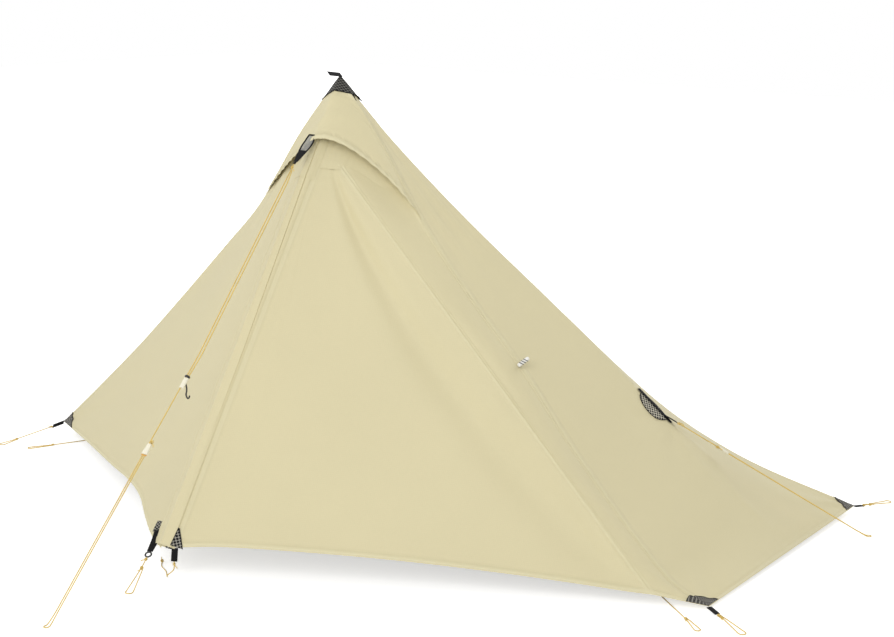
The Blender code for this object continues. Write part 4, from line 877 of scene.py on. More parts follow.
def drawn_alloy():
    graph, paint = new_material("Anodised alloy")
    tint = tuple(colours().alloy)
    where = graph.node("ShaderNodeTexCoord").outputs["Object"]
    drawn = graph.node("ShaderNodeMapping")
    graph.feed(drawn.inputs["Vector"], where)
    drawn.inputs["Scale"].default_value = (900.0, 900.0, 9.0)
    lines = graph.noise(drawn.outputs[0], 1.0, 4.0)
    scuff = graph.ramp(graph.noise(where, 60.0, 5.0), 0.45, 0.75)
    return paint(graph.mix(scuff, tint, times(tint, 1.25)),
                 graph.math("MULTIPLY_ADD", lines, 0.25, 0.22), lines, 0.00004, 0.5, metallic=1.0)


def zip_tape():
    graph, paint = new_material("Zip tape")
    weave = graph.place("Woven cloth", pitch=0.0009, grid=0.02)
    return paint(graph.dye((0.03, 0.03, 0.031), 60.0, 0.12)["Colour"], 0.7, weave["Height"],
                 0.0001, 0.8)


def make_finishes():
    make_groups()
    tints = colours()
    black = tuple(tints.mesh)
    FINISH.update({
        "fly": fly_cloth(),
        "grey mesh": netting("Grey mesh", (0.3, 0.3, 0.28), 0.0035, 0.42),
        "cap": backed_mesh("Apex mesh", (0.01, 0.01, 0.01), (0.15, 0.145, 0.13), 0.0085, 0.16),
        "patch": backed_mesh("Corner mesh", black, (0.36, 0.345, 0.3), 0.0076, 0.14, 0.6),
        "pullout": backed_mesh("Pull-out mesh", black, (0.55, 0.52, 0.42), 0.0068, 0.22),
        "vent": netting("Vent netting", black, 0.0018, 0.34),
        "net": netting("Inner netting", tuple(tints.netting), 0.0016, 0.32, 0.0),
        "webbing": strap_web(),
        "cord": line_cord("Line cord", tuple(tints.cord)),
        "elastic": line_cord("Tie-back elastic", (0.02, 0.02, 0.02)),
        "cream": moulded("Cream moulding", tuple(tints.tensioner), 0.42, 0.1),
        "orange": moulded("Orange moulding", (0.72, 0.34, 0.06), 0.4),
        "black": moulded("Black moulding", tuple(tints.fitting), 0.45),
        "zip": moulded("Zip coil", (0.02, 0.02, 0.021), 0.38),
        "white": moulded("Pale moulding", (0.78, 0.77, 0.72), 0.4, 0.1),
        "tape": zip_tape(),
        "floor": floor_cloth(),
        "alloy": drawn_alloy(),
        "rubber": moulded("Rubber", (0.03, 0.03, 0.03), 0.78),
        "thread": moulded("Pale thread", tuple(min(1.0, c * 1.06) for c in tints.fly), 0.6),
    })


# Camera, floor and light

# The camera's place in metres, its turn, its dip and its roll in degrees, and its lens in mm
CAMERA_PLACE = (2.88, -3.42, 1.60)
CAMERA_TURNS = (-36.189, 12.985, 1.005)
CAMERA_LENS = 64.85
CAMERA_SENSOR = 36.0


def make_camera():
    azimuth, pitch, roll = (math.radians(angle) for angle in CAMERA_TURNS)
    look = Vector((math.sin(azimuth) * math.cos(pitch), math.cos(azimuth) * math.cos(pitch),
                   -math.sin(pitch)))
    right = Vector((math.cos(azimuth), -math.sin(azimuth), 0.0))
    up = right.cross(look)
    turned_right = right * math.cos(roll) + up * math.sin(roll)
    turned_up = up * math.cos(roll) - right * math.sin(roll)
    lens = bpy.data.cameras.new("Camera")
    lens.lens = CAMERA_LENS
    lens.sensor_width = CAMERA_SENSOR
    lens.sensor_fit = "HORIZONTAL"
    lens.clip_end = 60.0
    thing = bpy.data.objects.new("Camera", lens)
    bpy.context.scene.collection.objects.link(thing)
    turn = Matrix((turned_right, turned_up, -look)).transposed().to_4x4()
    thing.matrix_world = Matrix.Translation(CAMERA_PLACE) @ turn
    bpy.context.scene.camera = thing


def make_stage():
    scene = bpy.context.scene
    scene.view_settings.view_transform = "Standard"
    world = bpy.data.worlds.new("Pale studio")
    scene.world = world
    world.use_nodes = True
    tree = world.node_tree
    graph = Graph(tree)
    plain = tree.nodes["Background"]
    plain.inputs["Color"].default_value = (1.0, 0.995, 0.985, 1.0)
    plain.inputs["Strength"].default_value = 0.66
    white = graph.node("ShaderNodeBackground")
    white.inputs["Color"].default_value = (1.0, 1.0, 1.0, 1.0)
    white.inputs["Strength"].default_value = 1.0
    ray = graph.node("ShaderNodeLightPath").outputs
    seen = graph.math("MAXIMUM", graph.math("MAXIMUM", ray["Is Camera Ray"], ray["Is Glossy Ray"]),
                      ray["Is Transmission Ray"])
    both = graph.node("ShaderNodeMixShader")
    graph.feed(both.inputs[0], seen)
    graph.feed(both.inputs[1], plain.outputs[0])
    graph.feed(both.inputs[2], white.outputs[0])
    graph.feed(tree.nodes["World Output"].inputs["Surface"], both.outputs[0])
    for name, place, aim, power, size in (
            ("Soft key", (1.8, -4.6, 3.6), (0.2, 0.0, 0.3), 122.0, 3.2),
            ("Soft fill", (-4.6, -1.8, 3.2), (0.0, 0.2, 0.5), 42.0, 3.6),
            ("Soft back", (1.8, 4.4, 3.6), (0.0, 0.3, 0.5), 60.0, 3.4)):
        lamp = bpy.data.lights.new(name, "AREA")
        lamp.energy = power
        lamp.size = size
        thing = bpy.data.objects.new(name, lamp)
        scene.collection.objects.link(thing)
        thing.location = place
        away = Vector(place) - Vector(aim)
        thing.rotation_euler = away.to_track_quat("Z", "Y").to_euler()
    work = bmesh.new()
    bmesh.ops.create_grid(work, x_segments=2, y_segments=2, size=14.0)
    mesh = bpy.data.meshes.new("Floor")
    work.to_mesh(mesh)
    work.free()
    mesh.transform(Matrix.Translation((0.0, 0.0, -0.0006)))
    ground = bpy.data.objects.new("Floor", mesh)
    scene.collection.objects.link(ground)
    made, graph, shader = bare_material("Pale floor")
    for key, value in (("Base Color", (0.86, 0.86, 0.855, 1.0)), ("Roughness", 0.9),
                       ("Specular IOR Level", 0.1), ("Emission Color", (1.0, 1.0, 1.0, 1.0))):
        shader[key].default_value = value
    seen = graph.node("ShaderNodeLightPath").outputs["Is Camera Ray"]
    reach = graph.node("ShaderNodeVectorMath", operation="LENGTH")
    graph.feed(reach.inputs[0], graph.node("ShaderNodeTexCoord").outputs["Object"])
    far = graph.ramp(reach.outputs["Value"], 1.6, 4.2)
    glow = graph.math("MULTIPLY", seen, graph.math("MULTIPLY_ADD", far, 0.55, 0.5))
    graph.feed(shader["Emission Strength"], graph.math("ADD", glow, 0.1))
    mesh.materials.append(made)


# Cords

def softened(route, reach=0.012, steps=3):
    """The route with each corner rounded."""
    path = [route[0]]
    for before, place, after in zip(route, route[1:], route[2:]):
        one = min(reach, (place - before).length * 0.48)
        two = min(reach, (after - place).length * 0.48)
        start = place + (before - place).normalized() * one
        end = place + (after - place).normalized() * two
        for k in range(steps + 1):
            u = k / steps
            path.append(start * (1 - u) ** 2 + place * (2 * u * (1 - u)) + end * u**2)
    path.append(route[-1])
    return path


def filled(path, step=0.05):
    """The path with long straight stretches divided."""
    made = [path[0]]
    for a, b in zip(path, path[1:]):
        parts = max(1, int((b - a).length / step))
        made += [a.lerp(b, (k + 1) / parts) for k in range(parts)]
    return made


def wound(place, run, side, turns=2.4, radius=0.0031, rise=0.0072):
    """The path of a wrap of cord round its own strands, with a short tail."""
    up = run.cross(side).normalized()
    side = up.cross(run).normalized()
    path = []
    count = int(turns * 10)
    for k in range(count + 1):
        angle = 2 * math.pi * turns * k / count
        wide = radius * (1.0 + 0.12 * math.sin(angle * 0.5))
        path.append(place + run * (rise * (k / count - 0.5)) + side * (wide * math.cos(angle))
                    + up * (wide * math.sin(angle)))
    last = path[-1]
    tail = (run * 0.6 + side * 0.7 + Vector((0.0, 0.0, 0.3))).normalized()
    path += [last + tail * 0.004, last + tail * 0.008 - Vector((0.0, 0.0, 0.0006)),
             last + tail * 0.012 - Vector((0.0, 0.0, 0.0022))]
    return path


def knot_at(name, place, run, side, turns=2.4, body="tent"):
    """A knot that stays above the ground."""
    path = wound(place, run.normalized(), side, turns)
    for p in path:
        p.z = max(p.z, 0.0014)
    return finished(name, tube(path, 0.00125), "cord", body)


def resting(peg):
    """A peg's place, raised to the middle of a cord that lies there."""
    return peg + UP * (CORD / 2 + 0.0002)


def pegged(start, peg, knot_share, loop_radius=0.01):
    """The route of a cord from its start to a loop round its peg."""
    rest = resting(peg)
    run = rest - start
    knot = start + run * knot_share
    flat = Vector((run.x, run.y, 0.0)).normalized()
    side = Vector((-flat.y, flat.x, 0.0))
    route = [start, knot - run * (0.3 * knot_share), knot]
    for k in range(7):
        angle = math.radians(-105 + 210 * k / 6)
        across = side * (loop_radius * math.sin(angle))
        route.append(rest + flat * (loop_radius * math.cos(angle)) + across)
    back = side * (CORD + 0.0009)
    route += [knot + back * 1.3 + run * (0.06 * (1.0 - knot_share)), knot + back]
    return route


def strap_ends(corner):
    """Where a corner strap starts and ends, its direction and half its width."""
    foot = CORNERS[corner][0]
    lead = (PEGS[corner] - foot).normalized()
    side = lead.cross(UP).normalized() * (WEBBING_WIDTH / 2)
    drop = 0.0018
    if corner == "front_left":
        side = (side * 0.45 - UP * (WEBBING_WIDTH * 0.45)).normalized() * WEBBING_WIDTH / 2
        drop *= 1.4
    start = foot + lead * 0.0004 - UP * drop
    end = foot + lead * (0.0004 + STRAP_LENGTH) - UP * drop
    return start, end, lead, side


def lay_cord(name, path, node, body="tent"):
    """A free cord along its path."""
    thing = finished(name, tube(path, CORD / 2), "cord", body, node)
    tuple(path[0])
    length_of(path)
    [tuple(p) for p in path]


def point_places():
    """Where the point's strap crosses the hem, the middle of its ring, and its direction."""
    hem = on_left(0.06, ZIP_END - 0.015, 0.0007)
    ring = hem.lerp(PEGS["point"], 0.3)
    return hem, ring, (ring - hem).normalized()


def peg_cord(name, start, key, node, loop_radius=0.01):
    """A cord to a peg, tied on its strap's loop and where its own loop closes."""
    route = pegged(start, PEGS[key], KNOT_SHARES[key], loop_radius)
    run = (route[2] - route[0]).normalized()
    side = run.cross(UP).normalized()
    knots = [knot_at(name + "_strap_knot", route[0] + run * 0.006, run, side, 1.7),
             knot_at(name + "_loop_knot", route[2], run, side)]
    lay_cord(name, filled(softened(route)), node)


def make_cords():
    for corner in ("front_right", "front_left", "back_right", "back_left"):
        _, end, lead, _ = strap_ends(corner)
        peg_cord("cord_" + corner, end + lead * 0.0004 + UP * 0.0008, corner,
                 "corner_cord_" + corner)
    _, ring, lead = point_places()
    peg_cord("cord_point", ring + lead * RING_REACH, "point", "point_cord")
    for turn, side in ((1.0, "right"), (-1.0, "left")):
        start = Vector((turn * (FLOOR_HALF - 0.0004), FLOOR_FRONT + 0.0004, 0.004))
        peg_cord("cord_inner_" + side, start, "inner_" + side, "inner_cord_front_" + side, 0.008)
    make_guylines()
    make_slack_cord()


UPPER = Vector((0.0, -0.618, 0.506))
LOWER = Vector((0.0, -0.75, 0.362))
GUY_RUN = (LOWER - UPPER).normalized()
GUY_BEND = UPPER - GUY_RUN * 0.085
# A guyline's loop round its peg, as pairs of across and ahead
PEG_LOOP = ((-0.002, 0.002), (-0.0035, 0.009), (-0.0012, 0.0145), (0.0035, 0.0165),
            (0.0082, 0.0145), (0.0102, 0.009), (0.0085, 0.002))


def near_peg(peg, run):
    place = peg - run * 0.03
    place.z = max(place.z, 0.006)
    return place


def guy_front_route():
    start = TAB_TIP + (GUY_BEND - TAB_TIP).normalized() * 0.0004 + MIDDLE_NORMAL * 0.0008
    after = LOWER + GUY_RUN * 0.05
    peg = resting(PEGS["guy_front"])
    side = SIDEWAYS * STRAND_SPACING
    near = near_peg(peg, (peg - after).normalized())
    loop = [peg + Vector((a, -b, 0.0)) for a, b in PEG_LOOP]
    back = [near + side, after + side, LOWER + side - GUY_RUN * 0.018]
    return [start, GUY_BEND, after, near] + loop + back


def foot_strap():
    """Where the foot pull-out's strap starts and ends, its direction and its side."""
    start = foot_end(CREST, PULLOUT_PLACE - 0.004)
    lead = (PEGS["guy_foot"] - start).normalized()
    raised = start + foot_normal(CREST, PULLOUT_PLACE - 0.004) * 0.0032
    return raised, raised + lead * STRAP_LENGTH, lead, lead.cross(UP).normalized()


def foot_line():
    """The foot guyline's start and peg, its direction and side, and its runner's place."""
    _, end, lead, _ = foot_strap()
    start = end + lead * 0.0008 + UP * 0.0008
    peg = resting(PEGS["guy_foot"])
    run = (peg - start).normalized()
    place = start + run * ((peg - start).length * 0.24)
    return start, peg, run, run.cross(UP).normalized(), place


def foot_normal(s, t):
    d = 0.002
    across = foot_end(s + d, t) - foot_end(s - d, t)
    along = foot_end(s, t + d) - foot_end(s, t - d)
    normal = across.cross(along).normalized()
    return normal if normal.x > 0.0 else -normal


def guy_foot_route():
    start, peg, run, flat, place = foot_line()
    side = flat * STRAND_SPACING
    near = near_peg(peg, run)
    level = Vector((run.x, run.y, 0.0)).normalized()
    loop = [peg + flat * a + level * b for a, b in PEG_LOOP]
    return [start, near] + loop + [near + side, place + side - run * 0.018]


def make_guylines():
    route = guy_front_route()
    run = (route[1] - route[0]).normalized()
    knots = [knot_at("guyline_front_tab_knot", route[0] + run * 0.011, run, SIDEWAYS, 2.0),
             knot_at("guyline_front_end_knot", route[-1] - GUY_RUN * 0.003 + SIDEWAYS * 0.0006,
                     GUY_RUN, SIDEWAYS, 2.0)]
    lay_cord("guyline_front_cord", filled(softened(route), 0.09), "guyline_front")
    shift = SIDEWAYS * STRAND_SPACING
    doubled = [route[0] + run * 0.02 + shift * 0.7, route[0] + run * 0.06 + shift * 1.45,
               route[1] + shift * 1.45, UPPER + shift - GUY_RUN * 0.0172]
    lay_cord("guyline_front_return", filled(softened(doubled)), None)
    route = guy_foot_route()
    run = (route[1] - route[0]).normalized()
    flat = run.cross(UP).normalized()
    knots = [knot_at("guyline_foot_strap_knot", route[0] + run * 0.008, run, flat, 1.7),
             knot_at("guyline_foot_end_knot", route[-1] - run * 0.003, run, flat, 2.0)]
    lay_cord("guyline_foot_cord", filled(softened(route)), "guyline_foot")


DOOR_STRAP_DROP = Vector((0.0, -0.004, -0.036))


def door_strap_start():
    hem_fall = (RIGHT_FOOT - POINT_FOOT).dot(DOWN) / SIDE_WIDTH
    return on_right(0.034, RIDGE_LENGTH + hem_fall * 0.034 - 0.005, -0.0009)


def make_slack_cord():
    """The loose cord from the door's strap, which lies on the ground at the point."""
    top = door_strap_start() + DOOR_STRAP_DROP * (1.0 + 0.0004 / DOOR_STRAP_DROP.length)
    ground = CORD / 2 + 0.0003
    route = [top, top + Vector((0.001, -0.003, -0.02)), Vector((0.012, top.y - 0.008, 0.012)),
             Vector((0.0, -0.689, ground)), Vector((-0.03, -0.664, ground)),
             Vector((-0.062, -0.648, ground)), Vector((-0.087, -0.623, ground))]
    path = through(route, 30)
    run = (path[-1] - path[-3]).normalized()
    knots = [knot_at("slack_cord_strap_knot", top + Vector((0.0003, -0.001, -0.006)),
                     Vector((0.0, -0.1, -1.0)), SIDEWAYS, 1.7, "door"),
             knot_at("slack_cord_end_knot", path[-1] + UP * 0.0024, run, UP, 1.6, "door")]
    lay_cord("cord_slack", path, "slack_cord", "door")


# Fly

SKINS = {}


def fading(x, reach):
    u = np.clip(x / reach, 0.0, 1.0)
    return u * u * (3.0 - 2.0 * u)


def puckers(along, distance, amount, pitch, seed):
    """Short gathers along a sewn edge."""
    kept = np.random.default_rng(seed)
    phase = kept.uniform(0, 2 * math.pi, 3)
    beat = (np.sin(along * 2 * math.pi / pitch + phase[0])
            + 0.6 * np.sin(along * 2 * math.pi / (pitch * 1.63) + phase[1])
            + 0.4 * np.sin(along * 2 * math.pi / (pitch * 0.61) + phase[2]))
    reach = np.exp(-distance / 0.035) * np.clip(distance / 0.006, 0.0, 1.0)
    return amount * beat * reach / 2.0


def spokes(u, v, amount, count, reach, phase):
    """Pull folds that run out from a corner; u and v are the distances from its two edges."""
    radius = np.hypot(u, v) + 1e-6
    angle = np.arctan2(v, np.maximum(u, 1e-6))
    swell = (radius / 0.07) / (1.0 + (radius / 0.07) ** 1.6) * np.exp(-radius / reach)
    return amount * np.sin(count * angle + phase) * swell * 2.0


def flat_width(surface, count=24):
    """Width of a surface at a fraction of its height, measured across it."""
    kept = {}

    def width(t):
        if t not in kept:
            row = [surface(k / count, t) for k in range(count + 1)]
            kept[t] = sum((b - a).length for a, b in zip(row, row[1:]))
        return kept[t]

    return width


END_WIDTH = flat_width(foot_end)(1.0)
BACK_WIDTH = 2.33


def with_gathers(depth, from_left, from_hem, nearest, side, hem):
    """The relief with the gathers of its side seams and its hem: amount, pitch and seed."""
    return depth + puckers(from_hem, nearest, *side) - puckers(from_left, from_hem + 0.004, *hem)


def foot_relief(s, t, from_left, from_hem, nearest):
    depth = waves(from_left, from_hem, 0.42, 11) * 0.0035
    depth += spokes(from_left, from_hem, 0.0045, 7.0, 0.17, 0.6)
    width = END_WIDTH * t
    depth += spokes(width * (1.0 - s), from_hem, 0.0055, 8.0, 0.15, 1.4)
    crest = width * np.abs(s - CREST)
    place = 1.0 - PULLOUT_PLACE
    depth += spokes(crest, np.abs(from_hem - place * 1.55), 0.003, 6.0, 0.14, 0.4)
    depth += 0.0018 * np.sin(s * 34.0 + 0.7) * np.exp(-np.abs(t * 1.6 - 0.42) / 0.14)
    depth *= fading(nearest, 0.05) * fading(from_hem, 0.03) * fading(crest, 0.03)
    return with_gathers(depth, from_left, from_hem, nearest, (0.0011, 0.034, 5), (0.0009, 0.04, 8))


def head_relief(s, t, from_left, from_hem, nearest):
    depth = waves(from_left, from_hem, 0.4, 23) * 0.0035
    depth += spokes(from_left, from_hem, 0.0045, 7.0, 0.16, 0.2)
    depth += spokes(END_WIDTH * t * (1.0 - s), from_hem, 0.0045, 7.0, 0.15, 1.1)
    depth *= fading(nearest, 0.05) * fading(from_hem, 0.03)
    return with_gathers(depth, from_left, from_hem, nearest, (0.0011, 0.036, 15), (0.0009, 0.041, 18))


def back_relief(s, t, from_left, from_hem, nearest):
    depth = waves(from_left, from_hem, 0.5, 31) * 0.004
    depth += spokes(from_left, from_hem, 0.006, 8.0, 0.2, 0.3)
    depth += spokes(BACK_WIDTH * t * (1.0 - s), from_hem, 0.006, 8.0, 0.2, 0.9)
    depth += 0.004 * np.sin(s * 11.0 + 0.4) * t * np.exp(-from_hem / 0.3)
    depth *= fading(nearest, 0.05) * fading(from_hem, 0.03)
    return with_gathers(depth, from_left, from_hem, nearest, (0.0011, 0.038, 35), (0.001, 0.042, 38))


def left_relief(s, t, from_left, from_hem, nearest):
    depth = waves(from_left, from_hem, 0.36, 41) * 0.003
    depth += spokes(from_left, from_hem, 0.005, 7.0, 0.18, 0.5)
    depth += 0.0022 * np.sin(s * 26.0 + 0.3) * np.exp(-np.abs(t - 0.2) / 0.09)
    depth *= fading(nearest, 0.05) * fading(from_hem, 0.03)
    return with_gathers(depth, from_left, from_hem, nearest, (0.0009, 0.03, 45), (0.0009, 0.037, 48))


def gathers(across, down):
    """Small folds under the hood, strongest near the top of the door."""
    beat = np.sin(across * 2 * math.pi / 0.019) + 0.7 * np.sin(across * 2 * math.pi / 0.031 + 0.8)
    return 0.0013 * beat * np.exp(-np.maximum(down - 0.17, 0.0) / 0.07) * np.exp(-across / 0.22)


def door_relief(s, t, from_left, from_hem, nearest):
    depth = waves(from_left, from_hem, 0.3, 51) * 0.0022
    depth += 0.0026 * np.sin(s * 9.0 + t * 7.0) * np.exp(-np.abs(t - 0.35) / 0.3)
    depth *= fading(nearest, 0.05) * fading(from_hem, 0.04) * fading(t, 0.06)
    folds = gathers(from_left + DOOR_EDGE, 0.257 + 1.1 * t) * fading(from_left, 0.02)
    return depth + folds + puckers(from_hem, nearest, 0.0008, 0.03, 55)


def strip_relief(s, t, from_left, from_hem, nearest):
    depth = waves(from_left, from_hem, 0.2, 61) * 0.0012
    depth *= fading(nearest, 0.03) * fading(from_hem, 0.05)
    return depth + puckers(from_hem, nearest, 0.0008, 0.03, 65)


def between(width):
    """Widths read from a short table, so that the grid is quick to lay out."""
    places = [k / 20 for k in range(21)]
    values = [width(place) for place in places]
    return lambda t: float(np.interp(t, places, values))


def make_fly():
    for key, surface, height, top, rows, columns, relief, name, body, node in (
            ("foot", foot_end, 1.62, PANEL_TOP, 130, 120, foot_relief, "fly_foot_end", "tent",
             "foot_end_panel"),
            ("head", head_end, 1.62, PANEL_TOP, 110, 90, head_relief, "fly_head_end", "tent",
             "head_end_panel"),
            ("back", back_side, 1.5, PANEL_TOP, 120, 150, back_relief, "fly_back", "tent",
             "back_panel"),
            ("left", front_left_side, 1.5, FACING_TOP, 120, 120, left_relief, "fly_front_left",
             "tent", "front_left_panel"),
            ("door", door_side, 1.15, 0.0, 120, 90, door_relief, "fly_door", "door", "door_panel"),
            ("strip", beside_door, 1.15, 0.0, 120, 24, strip_relief, "fly_fixed_strip", "tent",
             "door_side_panel")):
        skin = Skin(surface, between(flat_width(surface)), height, top, rows, columns,
                    relief=relief)
        SKINS[key] = skin
        thing = finished(name, skin.mesh(), "fly", body, node, 50.0)
        widest = max(skin.width(t) for t in (0.05, 0.3, 0.6, 0.8, 1.0))
        skin.area()
    make_facing()


def make_facing():
    """The cloth under the hood's right half, above the door, and the netting behind the hood."""
    reach = VENT_BOTTOM + 0.013 - FACING_TOP

    def drop(v):
        return FACING_TOP + reach * v

    def gathered(s, t, from_left, from_hem, nearest):
        return gathers(from_left, drop(t) * RIDGE_LENGTH) + 0.0012

    skin = Skin(lambda s, v: vent_surface(1.0 + s, drop(v)),
                lambda v: flat_width(lambda s, t: vent_surface(1.0 + s, t), 8)(drop(v)),
                reach * RIDGE_LENGTH, 0.0, 20, 90, False, gathered)
    thing = finished("fly_vent_facing", skin.mesh(), "fly")
    skin.area()
    skin.width(1.0)
    skin = Skin(lambda s, v: vent_surface(2.0 * s, 0.031 + (FACING_TOP - 0.031) * v),
                lambda v: 0.24 * (0.26 + 0.74 * v), 0.12, 0.0, 20, 40, False)
    thing = finished("vent_netting", skin.mesh(), "vent", node="vent_mesh")
    skin.area()


# Hood, cap and tabs

def out_dir(point):
    middle = 0.2 * (1.0 - point.z / 1.25)
    flat = Vector((point.x, point.y - middle, 0.0))
    reach = flat.length
    if reach < 1e-6:
        return Vector((0.0, 0.0, 1.0))
    flat = flat / reach * min(1.0, reach / 0.02)
    return (flat + Vector((0.0, 0.0, 1.0))).normalized()


def lift(point, height):
    return point + out_dir(point) * height


def hood_relief(s, t, from_left, from_hem, nearest):
    depth = waves(from_left, from_hem, 0.16, 71) * 0.0016
    depth += 0.0022 * np.sin(s * 23.0 + 0.5) * np.exp(-np.abs(from_hem - 0.05) / 0.05)
    depth *= fading(nearest, 0.03) * fading(from_hem, 0.02) * fading(t, 0.2)
    wave = 0.0013 * np.sin(from_left * 2 * math.pi / 0.031) * np.exp(-from_hem / 0.03)
    return depth + wave * fading(nearest, 0.04) + puckers(from_hem, nearest, 0.0008, 0.026, 75)


def make_hood():
    def over(s, v):
        return lift(hood_surface(2.0 * s - 1.0, PANEL_TOP + (HOOD_REACH - PANEL_TOP) * v), 0.0024)

    width = between(flat_width(over))
    skin = Skin(over, width, 0.3, 0.0, 60, 110, relief=hood_relief, inside=(0.0, 0.1, 1.0),
                seam=0.019, edge=0.026)
    SKINS["hood"] = skin
    thing = finished("hood_cloth", skin.mesh(), "fly", node="hood")
    skin.area()
    width(1.0)
    make_tab()
    make_cap()


# Half the tab's width at places down it
TAB_HALF = ((0.0, 0.0112), (0.28, 0.0152), (0.45, 0.0142), (1.0, 0.002))


def make_tab():
    """The webbing triangle on the brim that the front guyline pulls on."""
    drop = (TAB_TIP - HOOD_BRIM).normalized()
    high = SKINS["hood"].at(0.5, 0.885, 0.0012)
    brim = SKINS["hood"].at(0.5, 1.0, 0.0014) + drop * 0.0012
    up = (brim - high).cross(SIDEWAYS).normalized()
    if up.z < 0.0:
        up.negate()
    spine = through([high, high.lerp(brim, 0.5) + up * 0.0004, brim + up * 0.0003,
                     brim.lerp(TAB_TIP, 0.5), TAB_TIP], 24)

    def half(k):
        return smooth(TAB_HALF, k / 23)

    parts = [band([p + SIDEWAYS * (turn * half(k)) for k, p in enumerate(spine[:22])],
                  SIDEWAYS * 0.0027, 0.0011, up) for turn in (1.0, -1.0)]
    solid = spine[12:]
    parts.append(band(solid, lambda u: SIDEWAYS * max(0.0046, half(12 + u * (len(solid) - 1))),
                      0.0014, up))
    top = [high + SIDEWAYS * (0.0125 * w) + up * 0.0004 for w in np.linspace(-1.0, 1.0, 5)]
    parts.append(band(top, drop * 0.0025, 0.0012, up))
    finished("hood_tab_webbing", joined(parts), "webbing", node="hood_tab")
    places = np.linspace(-1.0, 1.0, 9)
    outer = np.array([[p + SIDEWAYS * (w * half(k)) + up * 0.0004 for w in places]
                      for k, p in enumerate(spine[:20])])
    uv = [[(w * half(k), k * 0.0045) for w in places] for k in range(20)]
    finished("hood_tab_mesh", shell(outer, outer - np.array(up) * 0.0004, uv), "grey mesh")


def cap_places():
    """Places round the top, in order: the surface, the place across it and the cap's reach."""
    def ends(s, seams, low=0.034, high=0.052):
        near = min(abs(s - k) for k in seams)
        return high - (high - low) * min(1.0, near / 0.25) ** 0.7

    ring = [(foot_end, s, ends(s, (1.0,), high=0.038) if s > 0.0 else 0.046)
            for s in np.linspace(0, 1, 22)[:-1]]
    ring += [(back_side, s, ends(s, (1.0,)) if s > 0.5 else ends(s, (0.0,), high=0.038))
             for s in np.linspace(0, 1, 26)[:-1]]
    ring += [(head_end, s, ends(s, (0.0, 1.0))) for s in np.linspace(1, 0, 22)[:-1]]
    ring += [(hood_surface, s, 0.034 + 0.018 * max(0.0, -s) ** 1.4)
             for s in np.linspace(-1, 1, 34)[:-1]]
    return ring


def make_cap():
    ring = cap_places()
    count = len(ring)
    rows = []
    for share in (0.1, 0.2, 0.32, 0.45, 0.6, 0.75, 0.9, 1.0):
        row = []
        for surface, s, reach in ring:
            t = reach * share
            place = surface(float(s), max(t, PANEL_TOP))
            if t < PANEL_TOP:
                place = APEX.lerp(place, t / PANEL_TOP)
            extra = 0.0006 * math.sin(float(s) * 18.0) * share
            row.append(lift(place, 0.0041 + extra + 0.001 * (1.0 - share)))
        rows.append(row)
    points = [p for row in rows for p in row]
    base = len(points)
    last = base - count
    around = [(k, (k + 1) % count) for k in range(count)]
    faces = ring_quads(len(rows), count)
    faces += [tuple(base + i for i in reversed(face)) for face in faces]
    faces += [(last + k, last + m, base + last + m, base + last + k) for k, m in around]
    faces += [(2 * base, m, k) for k, m in around]
    faces += [(2 * base + 1, base + k, base + m) for k, m in around]
    tip = APEX + UP * 0.0052
    points += [lift(p, -0.0007) for p in points] + [tip, tip - UP * 0.0007]
    uv = [(p.x + p.y * 0.3, p.z * 1.2 + p.y) for p in points]
    finished("apex_cap_mesh", mesh_of(points, faces, uv), "cap", node="apex_cap", angle=70.0)
    edge = [lift(p, 0.0004) for p in rows[-1]]
    finished("apex_cap_binding", tube(edge, 0.0013, 6, True), "webbing")
    tab = folded_strap(APEX + Vector((0.0, 0.003, 0.0055)), Vector((-0.004, -0.046, 1.2585)),
                       Vector((-0.0055, 0.0, 0.0052)))
    finished("apex_tab_webbing", tab, "webbing", node="apex_tab")
    roof = APEX.z + 0.0045 - 0.0016 - 0.0014
    floor = 1.227
    cup = lathe([(0.0, roof), (0.004, roof - 0.0066), (0.009, roof - 1.65 * 0.009),
                 (0.009, roof - 0.04), (0.0055, roof - 0.04), (0.0055, floor), (0.0, floor)], 32)
    finished("pole_pocket_cup", cup, "webbing", node="pole_pocket")


STRAP_THICKNESS = 0.00075


def folded_strap(start, end, side):
    """A strap sewn at its start and folded back on itself at its end."""
    run = (end - start).normalized()
    up = run.cross(side).normalized()
    if up.z < 0.0:
        up.negate()
    gap = STRAP_THICKNESS * 2 + 0.0002
    radius = gap / 2
    path = [start, start.lerp(end, 0.4), start.lerp(end, 0.8)]
    centre = end - run * radius + up * radius
    for k in range(7):
        angle = math.pi * k / 6
        path.append(centre + run * (radius * math.sin(angle)) - up * (radius * math.cos(angle)))
    path += [start.lerp(end, 0.8) + up * gap, start.lerp(end, 0.4) + up * gap, start + up * gap]
    first = path[1] - path[0]
    flip = first.cross(side).dot(up) < 0.0
    return band(path, -side if flip else side, STRAP_THICKNESS)


# Zip, storm flap and the cloth under them

DOUBLED_CLOTH = 0.0006


def run_down(outline, place, downs, thickness=DOUBLED_CLOTH, ripple=None, layers=None):
    """A strip down the front ridge: the outline is its outer face, from (across, height)."""
    grid, low, uv = [], [], []
    for d in downs:
        section = outline(d) if callable(outline) else outline
        raised = [(a, h + (ripple(a, d) if ripple else 0.0)) for a, h in section]
        grid.append([place(a, d, h) for a, h in raised])
        low.append([place(a, d, h - thickness) for a, h in raised])
        uv.append([(a, -d) for a, _ in section])
    return shell(grid, low, uv, layers and np.array([layers] * len(downs), float))


